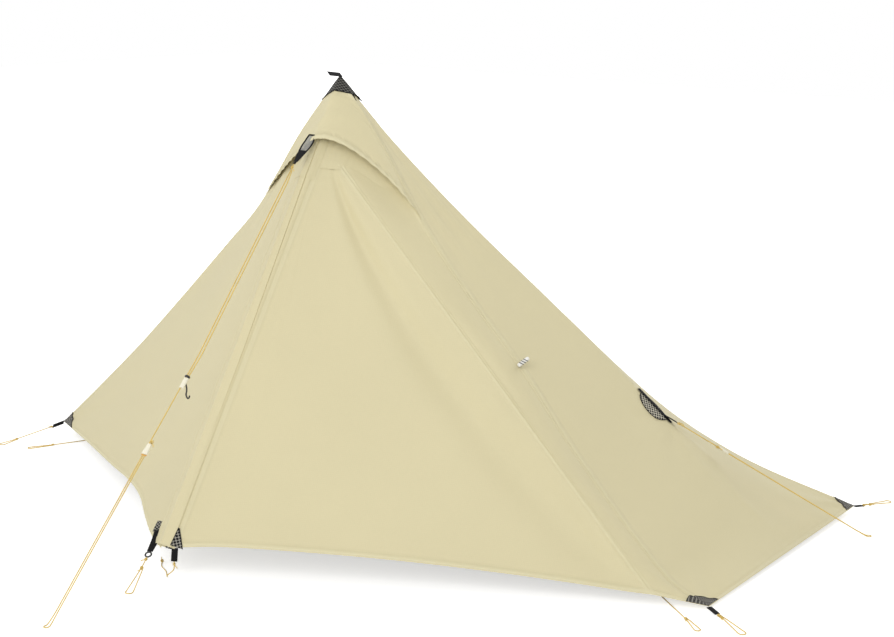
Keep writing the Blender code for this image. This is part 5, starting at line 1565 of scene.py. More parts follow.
def make_zip():
    right = ZIP_LINE - 0.0055 - 0.0004 - 0.0008
    outline = [(-0.033, 0.0007), (-0.0322, 0.0017), (-0.022, 0.0018), (-0.0212, 0.0014),
               (-0.012, 0.0014), (-0.004, 0.0015), (0.0, 0.0016), (0.004, 0.0016),
               (right - 0.001, 0.0015), (right, 0.0009)]
    # The zip band's left edge is marked for the fly cloth's painted highlight.
    mesh = run_down(outline, on_front, np.linspace(ZIP_TOP, ZIP_END, 120), DOUBLED_CLOTH,
                    lambda a, d: 0.0003 * math.sin(d * 170.0 + a * 60.0) * min(1, abs(a) * 40),
                    [1] * 3 + [0] * 7)
    finished("zip_band_cloth", mesh, "fly", node="zip_band", angle=50.0)
    for turn, body, half, top in ((-1.0, "tent", "left", ZIP_TOP),
                                  (1.0, "door", "right", ZIP_TOP + 0.018)):
        near = ZIP_LINE + turn * 0.0008
        steps = [(near, 0.0), (near + turn * 0.003, 0.0001), (near + turn * 0.006, 0.0),
                 (near + turn * 0.009, -0.0001)]
        mesh = run_down(steps, on_right, np.linspace(top, ZIP_END, 60), 0.0009)
        finished("zip_tape_" + half, mesh, "tape", body, "zip_chain_" + half)
        line = [on_right(near + turn * 0.0014, d, 0.0) for d in (top, ZIP_END)]
        repeat_along("zip_coil_" + half, [line], tooth_mesh(), 0.0021, "zip", body, False)
    make_flap()


def tooth_mesh():
    """One coil tooth, across the zip, already turned to lie on the door's face."""
    work = bmesh.new()
    bmesh.ops.create_uvsphere(work, u_segments=8, v_segments=4, radius=1.0)
    mesh = bpy.data.meshes.new("tooth")
    for corner in work.verts:
        x, y, z = corner.co
        corner.co = ACROSS * (x * 0.0018) + DOWN * (y * 0.00078) + RIGHT_NORMAL * (z * 0.0011)
    work.to_mesh(mesh)
    work.free()
    return mesh


# The flap's outer face as pairs of across and height, at its head and at its foot
FLAP_HEAD = ((0.0342, 0.0012), (0.0335, 0.0016), (0.0288, 0.0017), (0.0276, 0.0024),
             (0.0258, 0.0040), (0.0232, 0.0060), (0.0205, 0.0071), (0.0175, 0.0078),
             (0.0145, 0.0081), (0.0125, 0.0081), (0.0114, 0.0077), (0.0106, 0.0064),
             (0.0096, 0.0089), (0.0050, 0.0086), (0.0, 0.0080), (-0.014, 0.0060),
             (-0.0372, 0.0044), (-0.0382, 0.0047), (-0.0440, 0.0046), (-0.0450, 0.0041))
FLAP_MIDDLE = ((0.0342, 0.0012), (0.0335, 0.0016), (0.0290, 0.0018), (0.0272, 0.0024),
               (0.0252, 0.0038), (0.0236, 0.0052), (0.0226, 0.0060), (0.0219, 0.0064),
               (0.0214, 0.0066), (0.0210, 0.0066), (0.0207, 0.0064), (0.0204, 0.0062),
               (0.0194, 0.0089), (0.0150, 0.0088), (0.0, 0.0078), (-0.013, 0.0059),
               (-0.0372, 0.0044), (-0.0382, 0.0047), (-0.0440, 0.0046), (-0.0450, 0.0041))
FLAP_FOOT = ((0.0342, 0.0012), (0.0335, 0.0016), (0.0300, 0.0017), (0.0285, 0.0020),
             (0.0276, 0.0024), (0.0272, 0.0030), (0.0268, 0.0042), (0.0262, 0.0058),
             (0.0254, 0.0072), (0.0246, 0.0080), (0.0236, 0.0084), (0.0220, 0.0085),
             (0.0190, 0.0085), (0.0120, 0.0082), (0.0, 0.0074), (-0.012, 0.0058),
             (-0.0372, 0.0044), (-0.0382, 0.0047), (-0.0440, 0.0046), (-0.0450, 0.0041))


def flap_outline(d):
    """The flap's section at a place down the ridge."""
    u = 2.0 * min(1.0, max(0.0, (d - FLAP_TOP) / (FLAP_END - FLAP_TOP)))
    low, high = (FLAP_HEAD, FLAP_MIDDLE) if u < 1.0 else (FLAP_MIDDLE, FLAP_FOOT)
    u = u if u < 1.0 else u - 1.0
    return [(a + (c - a) * u, b + (e - b) * u) for (a, b), (c, e) in zip(low, high)]


def flap_ripple(a, d):
    free = max(0.0, -a) / FLAP_LEFT
    wave = 0.0009 * math.sin(d * 37.0) + 0.0006 * math.sin(d * 83.0 + 1.0)
    return wave * free + 0.00035 * math.sin(d * 160.0 + a * 90.0) * (0.3 + free) * (a < 0.024)


def make_flap():
    downs = np.linspace(FLAP_TOP, FLAP_END, 150)
    # The flap's sewn edges are marked for the fly cloth's painted highlight.
    layers = [1, 1, 1, 1] + [0] * 12 + [0, 1, 1, 1]
    mesh = run_down(flap_outline, on_front, downs, DOUBLED_CLOTH, flap_ripple, layers)
    thing = finished("storm_flap_cloth", mesh, "fly", "door", "storm_flap", 50.0)
    cover = [(-0.045, 0.0046), (-0.0382, 0.0052), (-0.022, 0.0062), (-0.008, 0.0076), (0.0, 0.0090),
             (0.0094, 0.0098), (0.0106, 0.0074), (0.0118, 0.0090), (0.0155, 0.0092),
             (0.0190, 0.0086), (0.0222, 0.0074), (0.0250, 0.0058), (0.0290, 0.0036),
             (0.0342, 0.0024)]
    mesh = run_down(cover, on_front, np.linspace(0.176, 0.306, 24), DOUBLED_CLOTH,
                    lambda a, d: 0.0004 * math.sin(d * 90.0 + a * 50.0))
    thing = finished("zip_top_cover", mesh, "fly", angle=50.0)


# Stitches and teeth along lines

def repeat_tree(name, aligned):
    """A Geometry Nodes tree that sets one shape along lines at an even pitch."""
    tree = bpy.data.node_groups.new(name, "GeometryNodeTree")
    for label, way, kind in (("Geometry", "INPUT", "Geometry"), ("Pitch", "INPUT", "Float"),
                             ("Shape", "INPUT", "Object"), ("Finish", "INPUT", "Material"),
                             ("Geometry", "OUTPUT", "Geometry")):
        tree.interface.new_socket(label, in_out=way, socket_type="NodeSocket" + kind)
    graph = Graph(tree)
    given = graph.node("NodeGroupInput").outputs
    out = graph.node("NodeGroupOutput").inputs
    curve = graph.node("GeometryNodeMeshToCurve")
    graph.feed(curve.inputs["Mesh"], given["Geometry"])
    even = graph.node("GeometryNodeResampleCurve", mode="LENGTH")
    graph.feed(even.inputs["Curve"], curve.outputs["Curve"])
    graph.feed(even.inputs["Length"], given["Pitch"])
    shape = graph.node("GeometryNodeObjectInfo")
    graph.feed(shape.inputs["Object"], given["Shape"])
    spots = graph.node("GeometryNodeInstanceOnPoints")
    graph.feed(spots.inputs["Points"], even.outputs["Curve"])
    graph.feed(spots.inputs["Instance"], shape.outputs["Geometry"])
    if aligned:
        tangent = graph.node("GeometryNodeInputTangent")
        turn = graph.node("FunctionNodeAlignRotationToVector", axis="X")
        graph.feed(turn.inputs["Vector"], tangent.outputs[0])
        graph.feed(spots.inputs["Rotation"], turn.outputs[0])
    real = graph.node("GeometryNodeRealizeInstances")
    graph.feed(real.inputs[0], spots.outputs[0])
    finish = graph.node("GeometryNodeSetMaterial")
    graph.feed(finish.inputs["Geometry"], real.outputs[0])
    graph.feed(finish.inputs["Material"], given["Finish"])
    graph.feed(out[0], finish.outputs[0])
    return tree


def repeat_along(name, lines, shape_mesh, pitch, finish, body, aligned=True):
    """A piece of one shape repeated along lines, made a plain mesh."""
    label = "Stitches along lines" if aligned else "Teeth along lines"
    tree = bpy.data.node_groups.get(label) or repeat_tree(label, aligned)
    points = []
    edges = []
    for line in lines:
        base = len(points)
        points += [tuple(p) for p in line]
        edges += [(base + k, base + k + 1) for k in range(len(line) - 1)]
    path = bpy.data.meshes.new(name + "_lines")
    path.from_pydata(points, edges, [])
    thing = bpy.data.objects.new(name, path)
    bpy.context.scene.collection.objects.link(thing)
    shape = bpy.data.objects.new(name + "_shape", shape_mesh)
    bpy.context.scene.collection.objects.link(shape)
    step = thing.modifiers.new("Repeat", "NODES")
    step.node_group = tree
    sockets = {item.name: item.identifier for item in tree.interface.items_tree
               if item.in_out == "INPUT"}
    step[sockets["Pitch"]] = pitch
    step[sockets["Shape"]] = shape
    step[sockets["Finish"]] = FINISH[finish]
    bpy.context.view_layer.update()
    graph = bpy.context.evaluated_depsgraph_get()
    made = bpy.data.meshes.new_from_object(thing.evaluated_get(graph))
    thing.modifiers.clear()
    thing.data = made
    made.name = name
    bpy.data.objects.remove(shape)
    bpy.data.meshes.remove(path)
    made.shade_smooth()
    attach(thing, body)


def stitch_mesh():
    """One stitch: a short thread along X, thin at its ends."""
    length, thick = 0.003, 0.0003
    return loft([[(x * length, wide * thick * math.cos(a), wide * thick * math.sin(a))
                  for a in (0.0, math.pi / 2, math.pi, 1.5 * math.pi)]
                 for x, wide in ((-0.5, 0.45), (-0.2, 1.0), (0.2, 1.0), (0.5, 0.45))])


def seam_line(skin, distance, side, height=0.0003, low=0.06, high=0.985, count=90):
    """A line on a panel at an even distance from one of its side edges."""
    top = skin.down[0]
    line = []
    for t in np.linspace(top + (1.0 - top) * low, top + (1.0 - top) * high, count):
        share = distance / max(skin.width(float(t)), 1e-3)
        s = share if side == "left" else 1.0 - share
        line.append(skin.at(s, float(t), height))
    return line


def hem_line(skin, distance, height=0.0003, count=110):
    t = 1.0 - distance / skin.height
    return [skin.at(float(s), t, height) for s in np.linspace(0.012, 0.988, count)]


def make_stitches():
    seam = (0.0022, sizes().seam - 0.0022)
    hem = sizes().hem - 0.002
    pitch = sizes().stitch
    lines = []
    for key in ("foot", "head", "back", "left", "strip"):
        skin = SKINS[key]
        lines += [seam_line(skin, d, side) for side in ("left", "right") for d in seam]
        lines.append(hem_line(skin, hem))
    hood = SKINS["hood"]
    lines += [seam_line(hood, d, side, low=0.12, high=0.99, count=40)
              for side in ("left", "right") for d in (0.003, 0.0165)]
    lines += [hem_line(hood, d, count=60) for d in (0.003, 0.0235)]
    lines += [[on_front(a, d, h) for d in np.linspace(ZIP_TOP, ZIP_END, 90)]
              for a, h in ((-0.0235, 0.0021), (-0.0315, 0.002))]
    repeat_along("fly_stitches", lines, stitch_mesh(), pitch, "thread", "tent")
    door = SKINS["door"]
    downs = np.linspace(FLAP_TOP + 0.004, FLAP_END - 0.004, 100)
    lines = [seam_line(door, d, "right") for d in seam]
    lines.append(hem_line(door, hem))
    lines.append([on_right(0.0308, d, 0.002) for d in downs])
    lines.append([on_front(-0.0378, d, 0.0049 + flap_ripple(-0.0378, d)) for d in downs])
    repeat_along("door_stitches", lines, stitch_mesh(), pitch, "thread", "door")


# Corners, point and pull-outs

def thin_patch(grid, uv):
    """A thin closed patch below its outer face."""
    return shell(grid, [[lift(p, -PATCH_CLOTH) for p in row] for row in grid], uv)


def two_panel_patch(first, second, rows):
    """A patch round a corner; first and second are a panel and the range across it."""
    shares = np.linspace(1.0, 0.0, 12)
    grid, uv = [], []
    for v in np.linspace(0.0, 1.0, 12):
        wide = 0.16 + 0.84 * v
        row, line = [], []
        for (skin, (start, end)), (top, bottom), turn, places in (
                (first, rows[0], -1.0, shares), (second, rows[1], 1.0, shares[-2::-1])):
            for s in places:
                row.append(skin.at(start + (end - start) * wide * s, top + (bottom - top) * v,
                                   0.0014))
                line.append((turn * s * wide * 0.055, -v * 0.06))
        grid.append(row)
        uv.append(line)
    return grid, uv


def make_corners():
    low = 0.9985
    top = 1.0 - 0.055 / 1.5
    beside_top = 1.0 - (1.0 - top) / (1.0 - VENT_BOTTOM)
    for corner, first, second, first_top in (
            ("front_right", ("strip", (1.0, 0.6)), ("foot", (0.0, 0.055)), beside_top),
            ("front_left", ("left", (0.0, 0.085)), ("head", (0.0, 0.055)), top),
            ("back_right", ("foot", (1.0, 0.945)), ("back", (0.0, 0.023)), top),
            ("back_left", ("head", (1.0, 0.945)), ("back", (1.0, 0.977)), top)):
        name = "patch_" + corner
        grid, uv = two_panel_patch((SKINS[first[0]], first[1]), (SKINS[second[0]], second[1]),
                                   ((first_top, low), (top, low)))
        finished(name, thin_patch(grid, uv), "patch", node="corner_patch_" + corner)
        rim = [row[0] for row in grid][::-1] + grid[0][1:] + [row[-1] for row in grid[1:]]
        finished(name + "_edge", tube([lift(p, 0.0002) for p in rim], 0.0011, 6), "webbing")
        start, end, _, side = strap_ends(corner)
        finished("strap_" + corner, folded_strap(start, end, side), "webbing",
                 node="corner_strap_" + corner)


PULLOUT_RADIUS = 0.046
PULLOUT_REACH = 0.036


def half_disc(name, skin, centre, turn, node=None):
    """A half disc of mesh on one side of the crest, with its binding."""
    s0, t0 = centre
    grid, uv = [], []
    width = skin.width(t0)
    for r in np.linspace(0.02, 1.0, 12):
        spots = [(PULLOUT_REACH * r * math.sin(a) * turn, PULLOUT_RADIUS * r * math.cos(a))
                 for a in np.linspace(0.0, math.pi, 26)]
        grid.append([skin.at(s0 + across / width, t0 + along / skin.height, 0.0015)
                     for across, along in spots])
        uv.append(spots)
    finished(name, thin_patch(grid, uv), "pullout", node=node)
    finished(name + "_edge", tube([lift(p, 0.0001) for p in grid[-1]], 0.001, 6), "webbing")


def make_pullouts():
    for key in ("foot", "head"):
        skin = SKINS[key]
        centre = (CREST, PULLOUT_PLACE - 0.025)
        half_disc("pullout_front_" + key, skin, centre, -1.0, "pullout_patch_" + key)
        half_disc("pullout_back_" + key, skin, centre, 1.0)
        path = [skin.at(CREST, t, 0.0024)
                for t in np.linspace(centre[1] - 0.036, centre[1] + 0.036, 14)]
        across = (skin.at(CREST + 0.01, centre[1]) - skin.at(CREST - 0.01, centre[1])).normalized()
        finished("pullout_band_" + key,
                 band(path, across * 0.006, 0.0012, skin.normal(CREST, centre[1])), "webbing")
    start, end, _, flat = foot_strap()
    finished("pullout_strap", folded_strap(start, end, flat * (WEBBING_WIDTH / 2)), "webbing",
             node="pullout_strap_foot")


def make_point():
    """The front point: its strap with the mesh on it, its ring, and the door's patch and strap."""
    hem, ring, lead = point_places()
    seen = Vector((-0.8, -0.5, 0.1)).normalized()
    start = on_left(0.066, ZIP_END - 0.062, 0.0009)
    end = ring - lead * RING_REACH
    path = through([start, start.lerp(hem, 0.6), hem + LEFT_NORMAL * 0.0004, hem.lerp(end, 0.6),
                    end], 16)
    strap = band(path, lambda u: LEFT_ACROSS.lerp(seen, min(1.0, 0.35 + u * 1.6)).normalized()
                 * (0.0135 - 0.006 * u), 0.0013, LEFT_NORMAL)
    finished("point_strap", strap, "webbing", node="point_strap_left")
    rows = np.linspace(0.0, 1.0, 9)
    places = np.linspace(-1, 1, 8)
    outer = np.array([[path[0].lerp(path[5], v) + LEFT_NORMAL * 0.0019
                       + LEFT_ACROSS.lerp(seen, 0.35 + 0.53 * v).normalized() * (w * 0.0141)
                       for w in places] for v in rows])
    uv = [[(w * 0.0144, v * 0.04) for w in places] for v in rows]
    finished("point_mesh_left", shell(outer, outer - np.array(LEFT_NORMAL) * 0.0005, uv), "patch")
    flat = UP.cross(lead).normalized()
    turn = Matrix((lead, flat, lead.cross(flat))).transposed()
    circle = [ring + turn @ Vector((0.008 * math.cos(a), 0.008 * math.sin(a), 0.0))
              for a in np.linspace(0, 2 * math.pi, 48, endpoint=False)]
    finished("point_ring_moulded", tube(circle, 0.0022, 12, True), "black", node="point_ring")
    cross = np.linspace(0.0, 1.0, 9)
    places = [(ZIP_END - d, left, wide) for d, left, wide in (
        (0.057, 0.0262, 0.002), (0.045, 0.0252, 0.0095), (0.033, 0.0244, 0.017),
        (0.021, 0.0236, 0.0245), (0.009, 0.0228, 0.032))]
    outer = np.array([[on_right(a, d, float(np.interp(a, (0.023, 0.0345), (0.0096, 0.0024))))
                       for a in (left + w * wide for w in cross)] for d, left, wide in places])
    uv = [[(w * wide, d) for w in cross] for d, left, wide in places]
    finished("point_patch", shell(outer, outer - np.array(RIGHT_NORMAL) * 0.0007, uv), "patch",
             "door", "point_patch_right")
    rim = list(outer[::-1, 0]) + list(outer[:, -1])
    finished("point_patch_edge", tube(rim, 0.0009, 6), "webbing", "door")
    start = door_strap_start()
    strap = folded_strap(start, start + DOOR_STRAP_DROP, Vector((WEBBING_WIDTH / 2, 0.004, 0.0)))
    finished("point_strap_door", strap, "webbing", "door", "point_strap_right")


# Tensioners, toggle and hook

def superellipse(wide, high, count=28, power=3.2):
    outline = []
    for k in range(count):
        a = 2 * math.pi * k / count
        c, s = math.cos(a), math.sin(a)
        outline.append((math.copysign(abs(c) ** (2 / power), c) * wide / 2,
                        math.copysign(abs(s) ** (2 / power), s) * high / 2))
    return outline


def moulded_runner(stations, matrix):
    """A moulded line runner with two flared holes along local X."""
    work = bmesh.new()
    skins = [[[work.verts.new((x, y, z)) for y, z in superellipse(wide, high)]
              for x, wide, high in stations]]
    first, last = stations[0][0], stations[-1][0]
    for shift in (-0.5, 0.5):
        skins.append([[work.verts.new((x, STRAND_SPACING * shift + radius * math.cos(a),
                                       radius * math.sin(a)))
                       for a in np.linspace(0, 2 * math.pi, 16, endpoint=False)]
                      for x, radius in ((first, 0.0025), (first + 0.0014, 0.00205),
                                        (0.0, 0.0019), (last - 0.0014, 0.00205),
                                        (last, 0.0025))])
    for rings in skins:
        for low, high in zip(rings, rings[1:]):
            for k in range(len(low)):
                m = (k + 1) % len(low)
                work.faces.new((low[k], low[m], high[m], high[k]))
    for end in (0, -1):
        edges = []
        for ring in (rings[end] for rings in skins):
            for k in range(len(ring)):
                pair = (ring[k], ring[(k + 1) % len(ring)])
                edges.append(work.edges.get(pair) or work.edges.new(pair))
        bmesh.ops.triangle_fill(work, edges=edges, use_beauty=True)
    bmesh.ops.recalc_face_normals(work, faces=work.faces)
    mesh = bpy.data.meshes.new("piece")
    work.to_mesh(mesh)
    work.free()
    mesh.transform(matrix)
    return mesh


def runner_matrix(place, run, flat):
    return Matrix.Translation(place) @ Matrix((run, flat, run.cross(flat))).transposed().to_4x4()


# Runners as stations of place along, width and height; the first is half of an even body
LONG_HALF = [(0.0024, 0.0134, 0.0066), (0.0036, 0.0142, 0.0075), (0.006, 0.0142, 0.0075),
             (0.0072, 0.0134, 0.0066), (0.0112, 0.0134, 0.0066), (0.0128, 0.0142, 0.0076),
             (0.0146, 0.0138, 0.0072), (0.015, 0.0128, 0.0062)]
LONG_BODY = [(-x, wide, high) for x, wide, high in reversed(LONG_HALF)] + LONG_HALF
WEDGE = [(-0.015, 0.0118, 0.0056), (-0.0145, 0.0124, 0.0066), (-0.008, 0.0134, 0.007),
         (0.0, 0.015, 0.0074), (0.008, 0.0172, 0.0076), (0.0125, 0.0184, 0.0078),
         (0.0145, 0.0184, 0.0076), (0.015, 0.0172, 0.0066)]


def make_tensioners():
    half = SIDEWAYS * (STRAND_SPACING / 2)
    for end, place, stations in (("upper", UPPER, LONG_BODY), ("lower", LOWER, WEDGE)):
        mesh = moulded_runner(stations, runner_matrix(place + half, GUY_RUN, SIDEWAYS))
        finished("line_runner_" + end, mesh, "cream", "tensioner_" + end, "tensioner_" + end, 40.0)
    bar = LOWER + half + GUY_RUN * 0.0172
    ends = [bar + SIDEWAYS * (w * 0.0078) for w in np.linspace(-1, 1, 8)]
    finished("line_runner_bar", tube(ends, 0.0015, 10), "orange", "tensioner_lower")
    legs = [tube([start, start - GUY_RUN * 0.0034], 0.0012)
            for start in (bar - SIDEWAYS * 0.0078, bar + SIDEWAYS * 0.0078)]
    finished("line_runner_legs", joined(legs), "orange", "tensioner_lower")
    make_hook(half)
    _, _, run, flat, place = foot_line()
    mesh = moulded_runner(LONG_BODY, runner_matrix(place + flat * (STRAND_SPACING / 2), run, flat))
    finished("line_runner_foot", mesh, "cream", "tensioner_foot", "tensioner_foot", 40.0)


def make_hook(half):
    """The black lock and the hook that hang on the upper runner."""
    up = GUY_RUN.cross(SIDEWAYS)
    if up.z < 0.0:
        up.negate()
    eye = UPPER + half - GUY_RUN * 0.0186
    collar = lathe([(0.0052, -0.003), (0.0068, -0.0024), (0.0072, 0.0), (0.0068, 0.0024),
                    (0.0052, 0.003), (0.0052, -0.003)], 24)
    turn = GUY_RUN.to_track_quat("Z", "Y").to_matrix().to_4x4()
    collar.transform(Matrix.Translation(eye) @ turn)
    down = Vector((0.0, -0.15, -1.0)).normalized()
    base = UPPER + half - up * 0.0052
    route = [base - GUY_RUN * 0.002] + [
        base - up * out + down * low + SIDEWAYS * side for out, low, side in (
            (0.004, 0.0, 0.0), (0.008, 0.006, 0.0), (0.0095, 0.014, 0.0), (0.008, 0.022, 0.0),
            (0.0095, 0.0285, 0.002), (0.0095, 0.0315, 0.0065), (0.0095, 0.0285, 0.0105),
            (0.0095, 0.0235, 0.0115))]
    hook = tube(through(route, 28), 0.0021, 10)
    finished("line_hook", joined([collar, hook]), "black", "tensioner_upper", angle=40.0)


def make_toggle():
    """The tie-back's elastic loop, and the bar with its bands that turns in it."""
    run = (hinge_point(1.0) - hinge_point(0.0)).normalized()
    away = RIGHT_NORMAL
    base = beside_door(0.965, 0.405) + away * 0.0011
    half, stand = 0.0035, 0.0105
    route = [base + run * (half * side) + away * high for side, high in (
        (-1.0, 0.0), (-1.0, 0.004), (-0.9, stand - 0.0017), (-0.55, stand - 0.0003), (0.0, stand),
        (0.55, stand - 0.0003), (0.9, stand - 0.0017), (1.0, 0.004), (1.0, 0.0))]
    finished("tieback_elastic", tube(through(route, 26), 0.0009), "elastic", node="tieback_loop")
    along = UP - run * run.z
    along = (along - away * along.dot(away) + away * 0.12).normalized()
    turn = runner_matrix(base + away * stand, along, run)
    mesh = loft([[(x, y * wide, z * wide) for y, z in superellipse(0.0108, 0.0112, 24, 2.6)]
                 for x, wide in ((-0.0032, 0.35), (-0.0029, 0.62), (-0.0018, 0.86),
                                 (0.0006, 0.98), (0.006, 1.0), (0.012, 0.96), (0.0148, 0.98),
                                 (0.018, 0.96), (0.024, 1.0), (0.0294, 0.98), (0.0318, 0.86),
                                 (0.0325, 0.62), (0.0328, 0.35))])
    mesh.transform(turn)
    finished("tieback_bar", mesh, "white", "tieback_toggle", "tieback_toggle", 40.0)
    bands = [tube([turn @ Vector((x + 0.003 * math.cos(a), 0.0056 * math.cos(a),
                                  0.0058 * math.sin(a)))
                   for a in np.linspace(0, 2 * math.pi, 20, endpoint=False)], 0.0011, 8, True)
             for x in (0.008, 0.0152, 0.0224)]
    finished("tieback_bands", joined(bands), "elastic", "tieback_toggle")


# Inner tent

RIM_HALF = FLOOR_HALF - FLOOR_LEAN
RIM_FRONT = 0.055
RIM_BACK = FLOOR_BACK - FLOOR_LEAN
INNER_FEET = {
    end + side: Vector((turn * RIM_HALF, y, FLOOR_WALL + 0.0016))
    for end, y in (("front_", RIM_FRONT), ("back_", RIM_BACK))
    for side, turn in (("right", 1.0), ("left", -1.0))
}


def inner_wall(first, second, first_drop, second_drop, slack):
    def surface(s, t):
        point = INNER_APEX.lerp(INNER_FEET[first].lerp(INNER_FEET[second], s), t)
        bow = 4.0 * s * (1.0 - s)
        drop = (first_drop * (1.0 - s) + second_drop * s) * (1.0 - slack * bow)
        point.z -= drop * 4.0 * t * (1.0 - t)
        return point

    return surface


def on_inner_front(x, z, ahead=0.0):
    lean = (INNER_APEX.y - RIM_FRONT) / (INNER_APEX.z - FLOOR_WALL)
    return Vector((x, RIM_FRONT + lean * (z - FLOOR_WALL) - ahead, z))


def rounded_plan(a, b, corner, count=96):
    """A rounded rectangle, evenly divided, round the middle of the floor."""
    outline = []
    quarter = count // 4
    for q, (cx, cy) in enumerate(((1, 1), (-1, 1), (-1, -1), (1, -1))):
        for k in range(quarter):
            share = k / quarter
            if share < 0.5:
                angle = math.radians(90 * q + 180 * share)
                outline.append((cx * (a - corner) + corner * math.cos(angle),
                                cy * (b - corner) + corner * math.sin(angle)))
            else:
                angle = math.radians(90 * q + 90)
                px = cx * (a - corner) + corner * math.cos(angle)
                py = cy * (b - corner) + corner * math.sin(angle)
                nx, ny = ((-1, 1), (-1, -1), (1, -1), (1, 1))[q]
                qx = nx * (a - corner) + corner * math.cos(angle)
                qy = ny * (b - corner) + corner * math.sin(angle)
                u = (share - 0.5) * 2
                outline.append((px + (qx - px) * u, py + (qy - py) * u))
    return outline


def make_floor():
    middle = (RIM_FRONT + RIM_BACK) / 2
    a, b = FLOOR_HALF, (FLOOR_BACK - FLOOR_FRONT) / 2
    profile = [(0.02, 0.0), (0.3, 0.0), (0.6, 0.0), (0.85, 0.0), (0.97, 0.0005), (1.0, 0.003)]
    kept = np.random.default_rng(9)
    rings = [[(x, y, z) for x, y in rounded_plan(a * share, b * share, 0.02 * share + 0.004)]
             for share, z in profile]
    for v, inset in [(v, FLOOR_LEAN * v) for v in (0.25, 0.5, 0.75, 0.93, 1.0)] + [
            (v, FLOOR_LEAN * v + 0.0012) for v in (1.0, 0.75, 0.5, 0.25)]:
        rings.append([(x, y, 0.003 + (FLOOR_WALL - 0.003) * v)
                      for x, y in rounded_plan(a - inset, b - inset, 0.024)])
    for share, z in reversed(profile):
        scale = share * 0.9985
        waviness = kept.uniform(-0.5, 0.5, 4)
        rings.append([(x, y, z + 0.0012 + 0.0006 * math.sin(x * 9 + waviness[0])
                       * math.cos(y * 11 + waviness[1]) * (share < 0.97) + 0.0004)
                      for x, y in rounded_plan(a * scale, b * scale, 0.02 * share + 0.004)])
    rings = [[(x, y + middle, z) for x, y, z in ring] for ring in rings]
    mesh = loft(rings, [(x, y + z) for ring in rings for x, y, z in ring])
    thing = finished("inner_tub_floor", mesh, "floor", node="inner_floor", angle=40.0)


def flat_net(name, rows, node, body="tent"):
    outer = np.array(rows)
    uv = np.stack([outer[..., 0], outer[..., 2]], -1)
    mesh = shell(outer, outer + np.array((0.0, 0.0005, 0.0)), uv)
    finished(name, mesh, "net", body, node)
    area_of(rows)


BACK_WALL = inner_wall("back_right", "back_left", 0.22, 0.22, 0.3)
FOOT_WALL = inner_wall("front_right", "back_right", 0.1, 0.22, 0.2)
HEAD_WALL = inner_wall("back_left", "front_left", 0.22, 0.1, 0.2)


def make_inner():
    make_floor()
    for side, surface, width in (("back", BACK_WALL, 2.0), ("foot", FOOT_WALL, 0.7),
                                 ("head", HEAD_WALL, 0.7)):
        skin = Skin(surface, between(flat_width(surface)), 1.35, 0.02, 50, 40,
                    relief=lambda s, t, u, v, n: waves(u, v, 0.3, 91) * 0.0025 * fading(n, 0.08)
                    * fading(v, 0.05), inside=(0.0, 0.4, 0.3))
        name = "inner_net_" + side
        thing = finished(name, skin.mesh(), "net", node="inner_" + side + "_wall")
        skin.area()
        hem = [skin.at(float(s), 0.992, 0.0006) for s in np.linspace(0.01, 0.99, 40)]
        finished(name + "_binding", tube(hem, 0.0022, 6), "webbing")
    make_inner_front()


def make_inner_front():
    """The net walls beside the inner door, the door, its zip and the strap at the top."""
    low = FLOOR_WALL + 0.0004
    top = 0.84
    gap = 0.0006
    lean = Vector((0.0012, 0.0012, 0.0012))
    ridge_line = sorted((p.z, p.x) for p in (FOOT_WALL(0.0, t) - lean
                                             for t in np.linspace(0.02, 1.0, 60)))
    heights, places = zip(*ridge_line)

    def edge_right(z):
        return float(np.interp(z, heights, places))

    def slanted(z, foot, x):
        """A place on a straight edge from its foot to the door's top corner."""
        u = (z - foot) / (top - foot)
        return x + (0.05 - x) * min(1.0, max(0.0, u))

    def door_left(z):
        return slanted(z, low, 0.035)

    def door_right(z):
        return slanted(z, low + 0.012, 0.92)

    def row(left, right, z, count):
        return [on_inner_front(left + (right - left) * u, z, 0.0016)
                for u in np.linspace(0, 1, count)]

    rows = [row(-edge_right(z), door_left(z) - gap if z < 0.842 else edge_right(z), z, 24)
            for z in np.linspace(low + 0.001, 1.06, 70)]
    flat_net("inner_net_front", rows, "inner_front_wall")
    rows = [row(door_right(z) + gap, max(edge_right(z), door_right(z) + gap + 0.004), z, 14)
            for z in np.linspace(low + 0.014, 0.842, 60)]
    flat_net("inner_net_beside_door", rows, None)
    rows = [row(door_left(z) + gap, max(min(door_right(z) - gap * 2, 0.908),
                                        door_left(z) + gap + 0.001), z, 20)
            for z in np.linspace(low + 0.0006, 0.838, 60)]
    flat_net("inner_net_door", rows, "inner_door", "inner_door")
    seam = [on_inner_front(door_left(z) - 0.004, z, 0.0024) for z in np.linspace(low, top, 30)]
    finished("inner_zip_tape", band(seam, SIDEWAYS * 0.003, 0.0008, Vector((0.0, -1.0, 0.0))),
             "tape")
    route = [lift(BACK_WALL(0.5, t), 0.0008) for t in (0.09, 0.03)]
    route += [lift(back_side(0.5, t), -0.0018 - 0.0016 - 0.0004) for t in (0.052, 0.034)]
    route.insert(2, route[1].lerp(route[2], 0.5))
    strap = band(through(route, 14), SIDEWAYS * (WEBBING_WIDTH / 2), 0.0014,
                 Vector((0.0, 0.3, 1.0)))
    finished("inner_hang_strap", strap, "webbing", node="inner_apex_strap")


def make_pole():
    for node, finish in (("pole_lower_tube", "alloy"), ("pole_upper_tube", "alloy"),
                         ("pole_clamp", "black"), ("pole_lever", "black"),
                         ("pole_foot", "rubber"), ("zip_slider", "zip"), ("zip_pull", "zip")):
        mesh = NODES[node].data
        mesh.materials.clear()
        mesh.materials.append(FINISH[finish])


# The add-on's operators and panel

class TENT_OT_stage(bpy.types.Operator):
    """Sets the camera, the floor and the light"""
    bl_idname = "tent.stage"
    bl_label = "Stage"

    def execute(self, context):
        make_camera()
        make_stage()
        return {"FINISHED"}


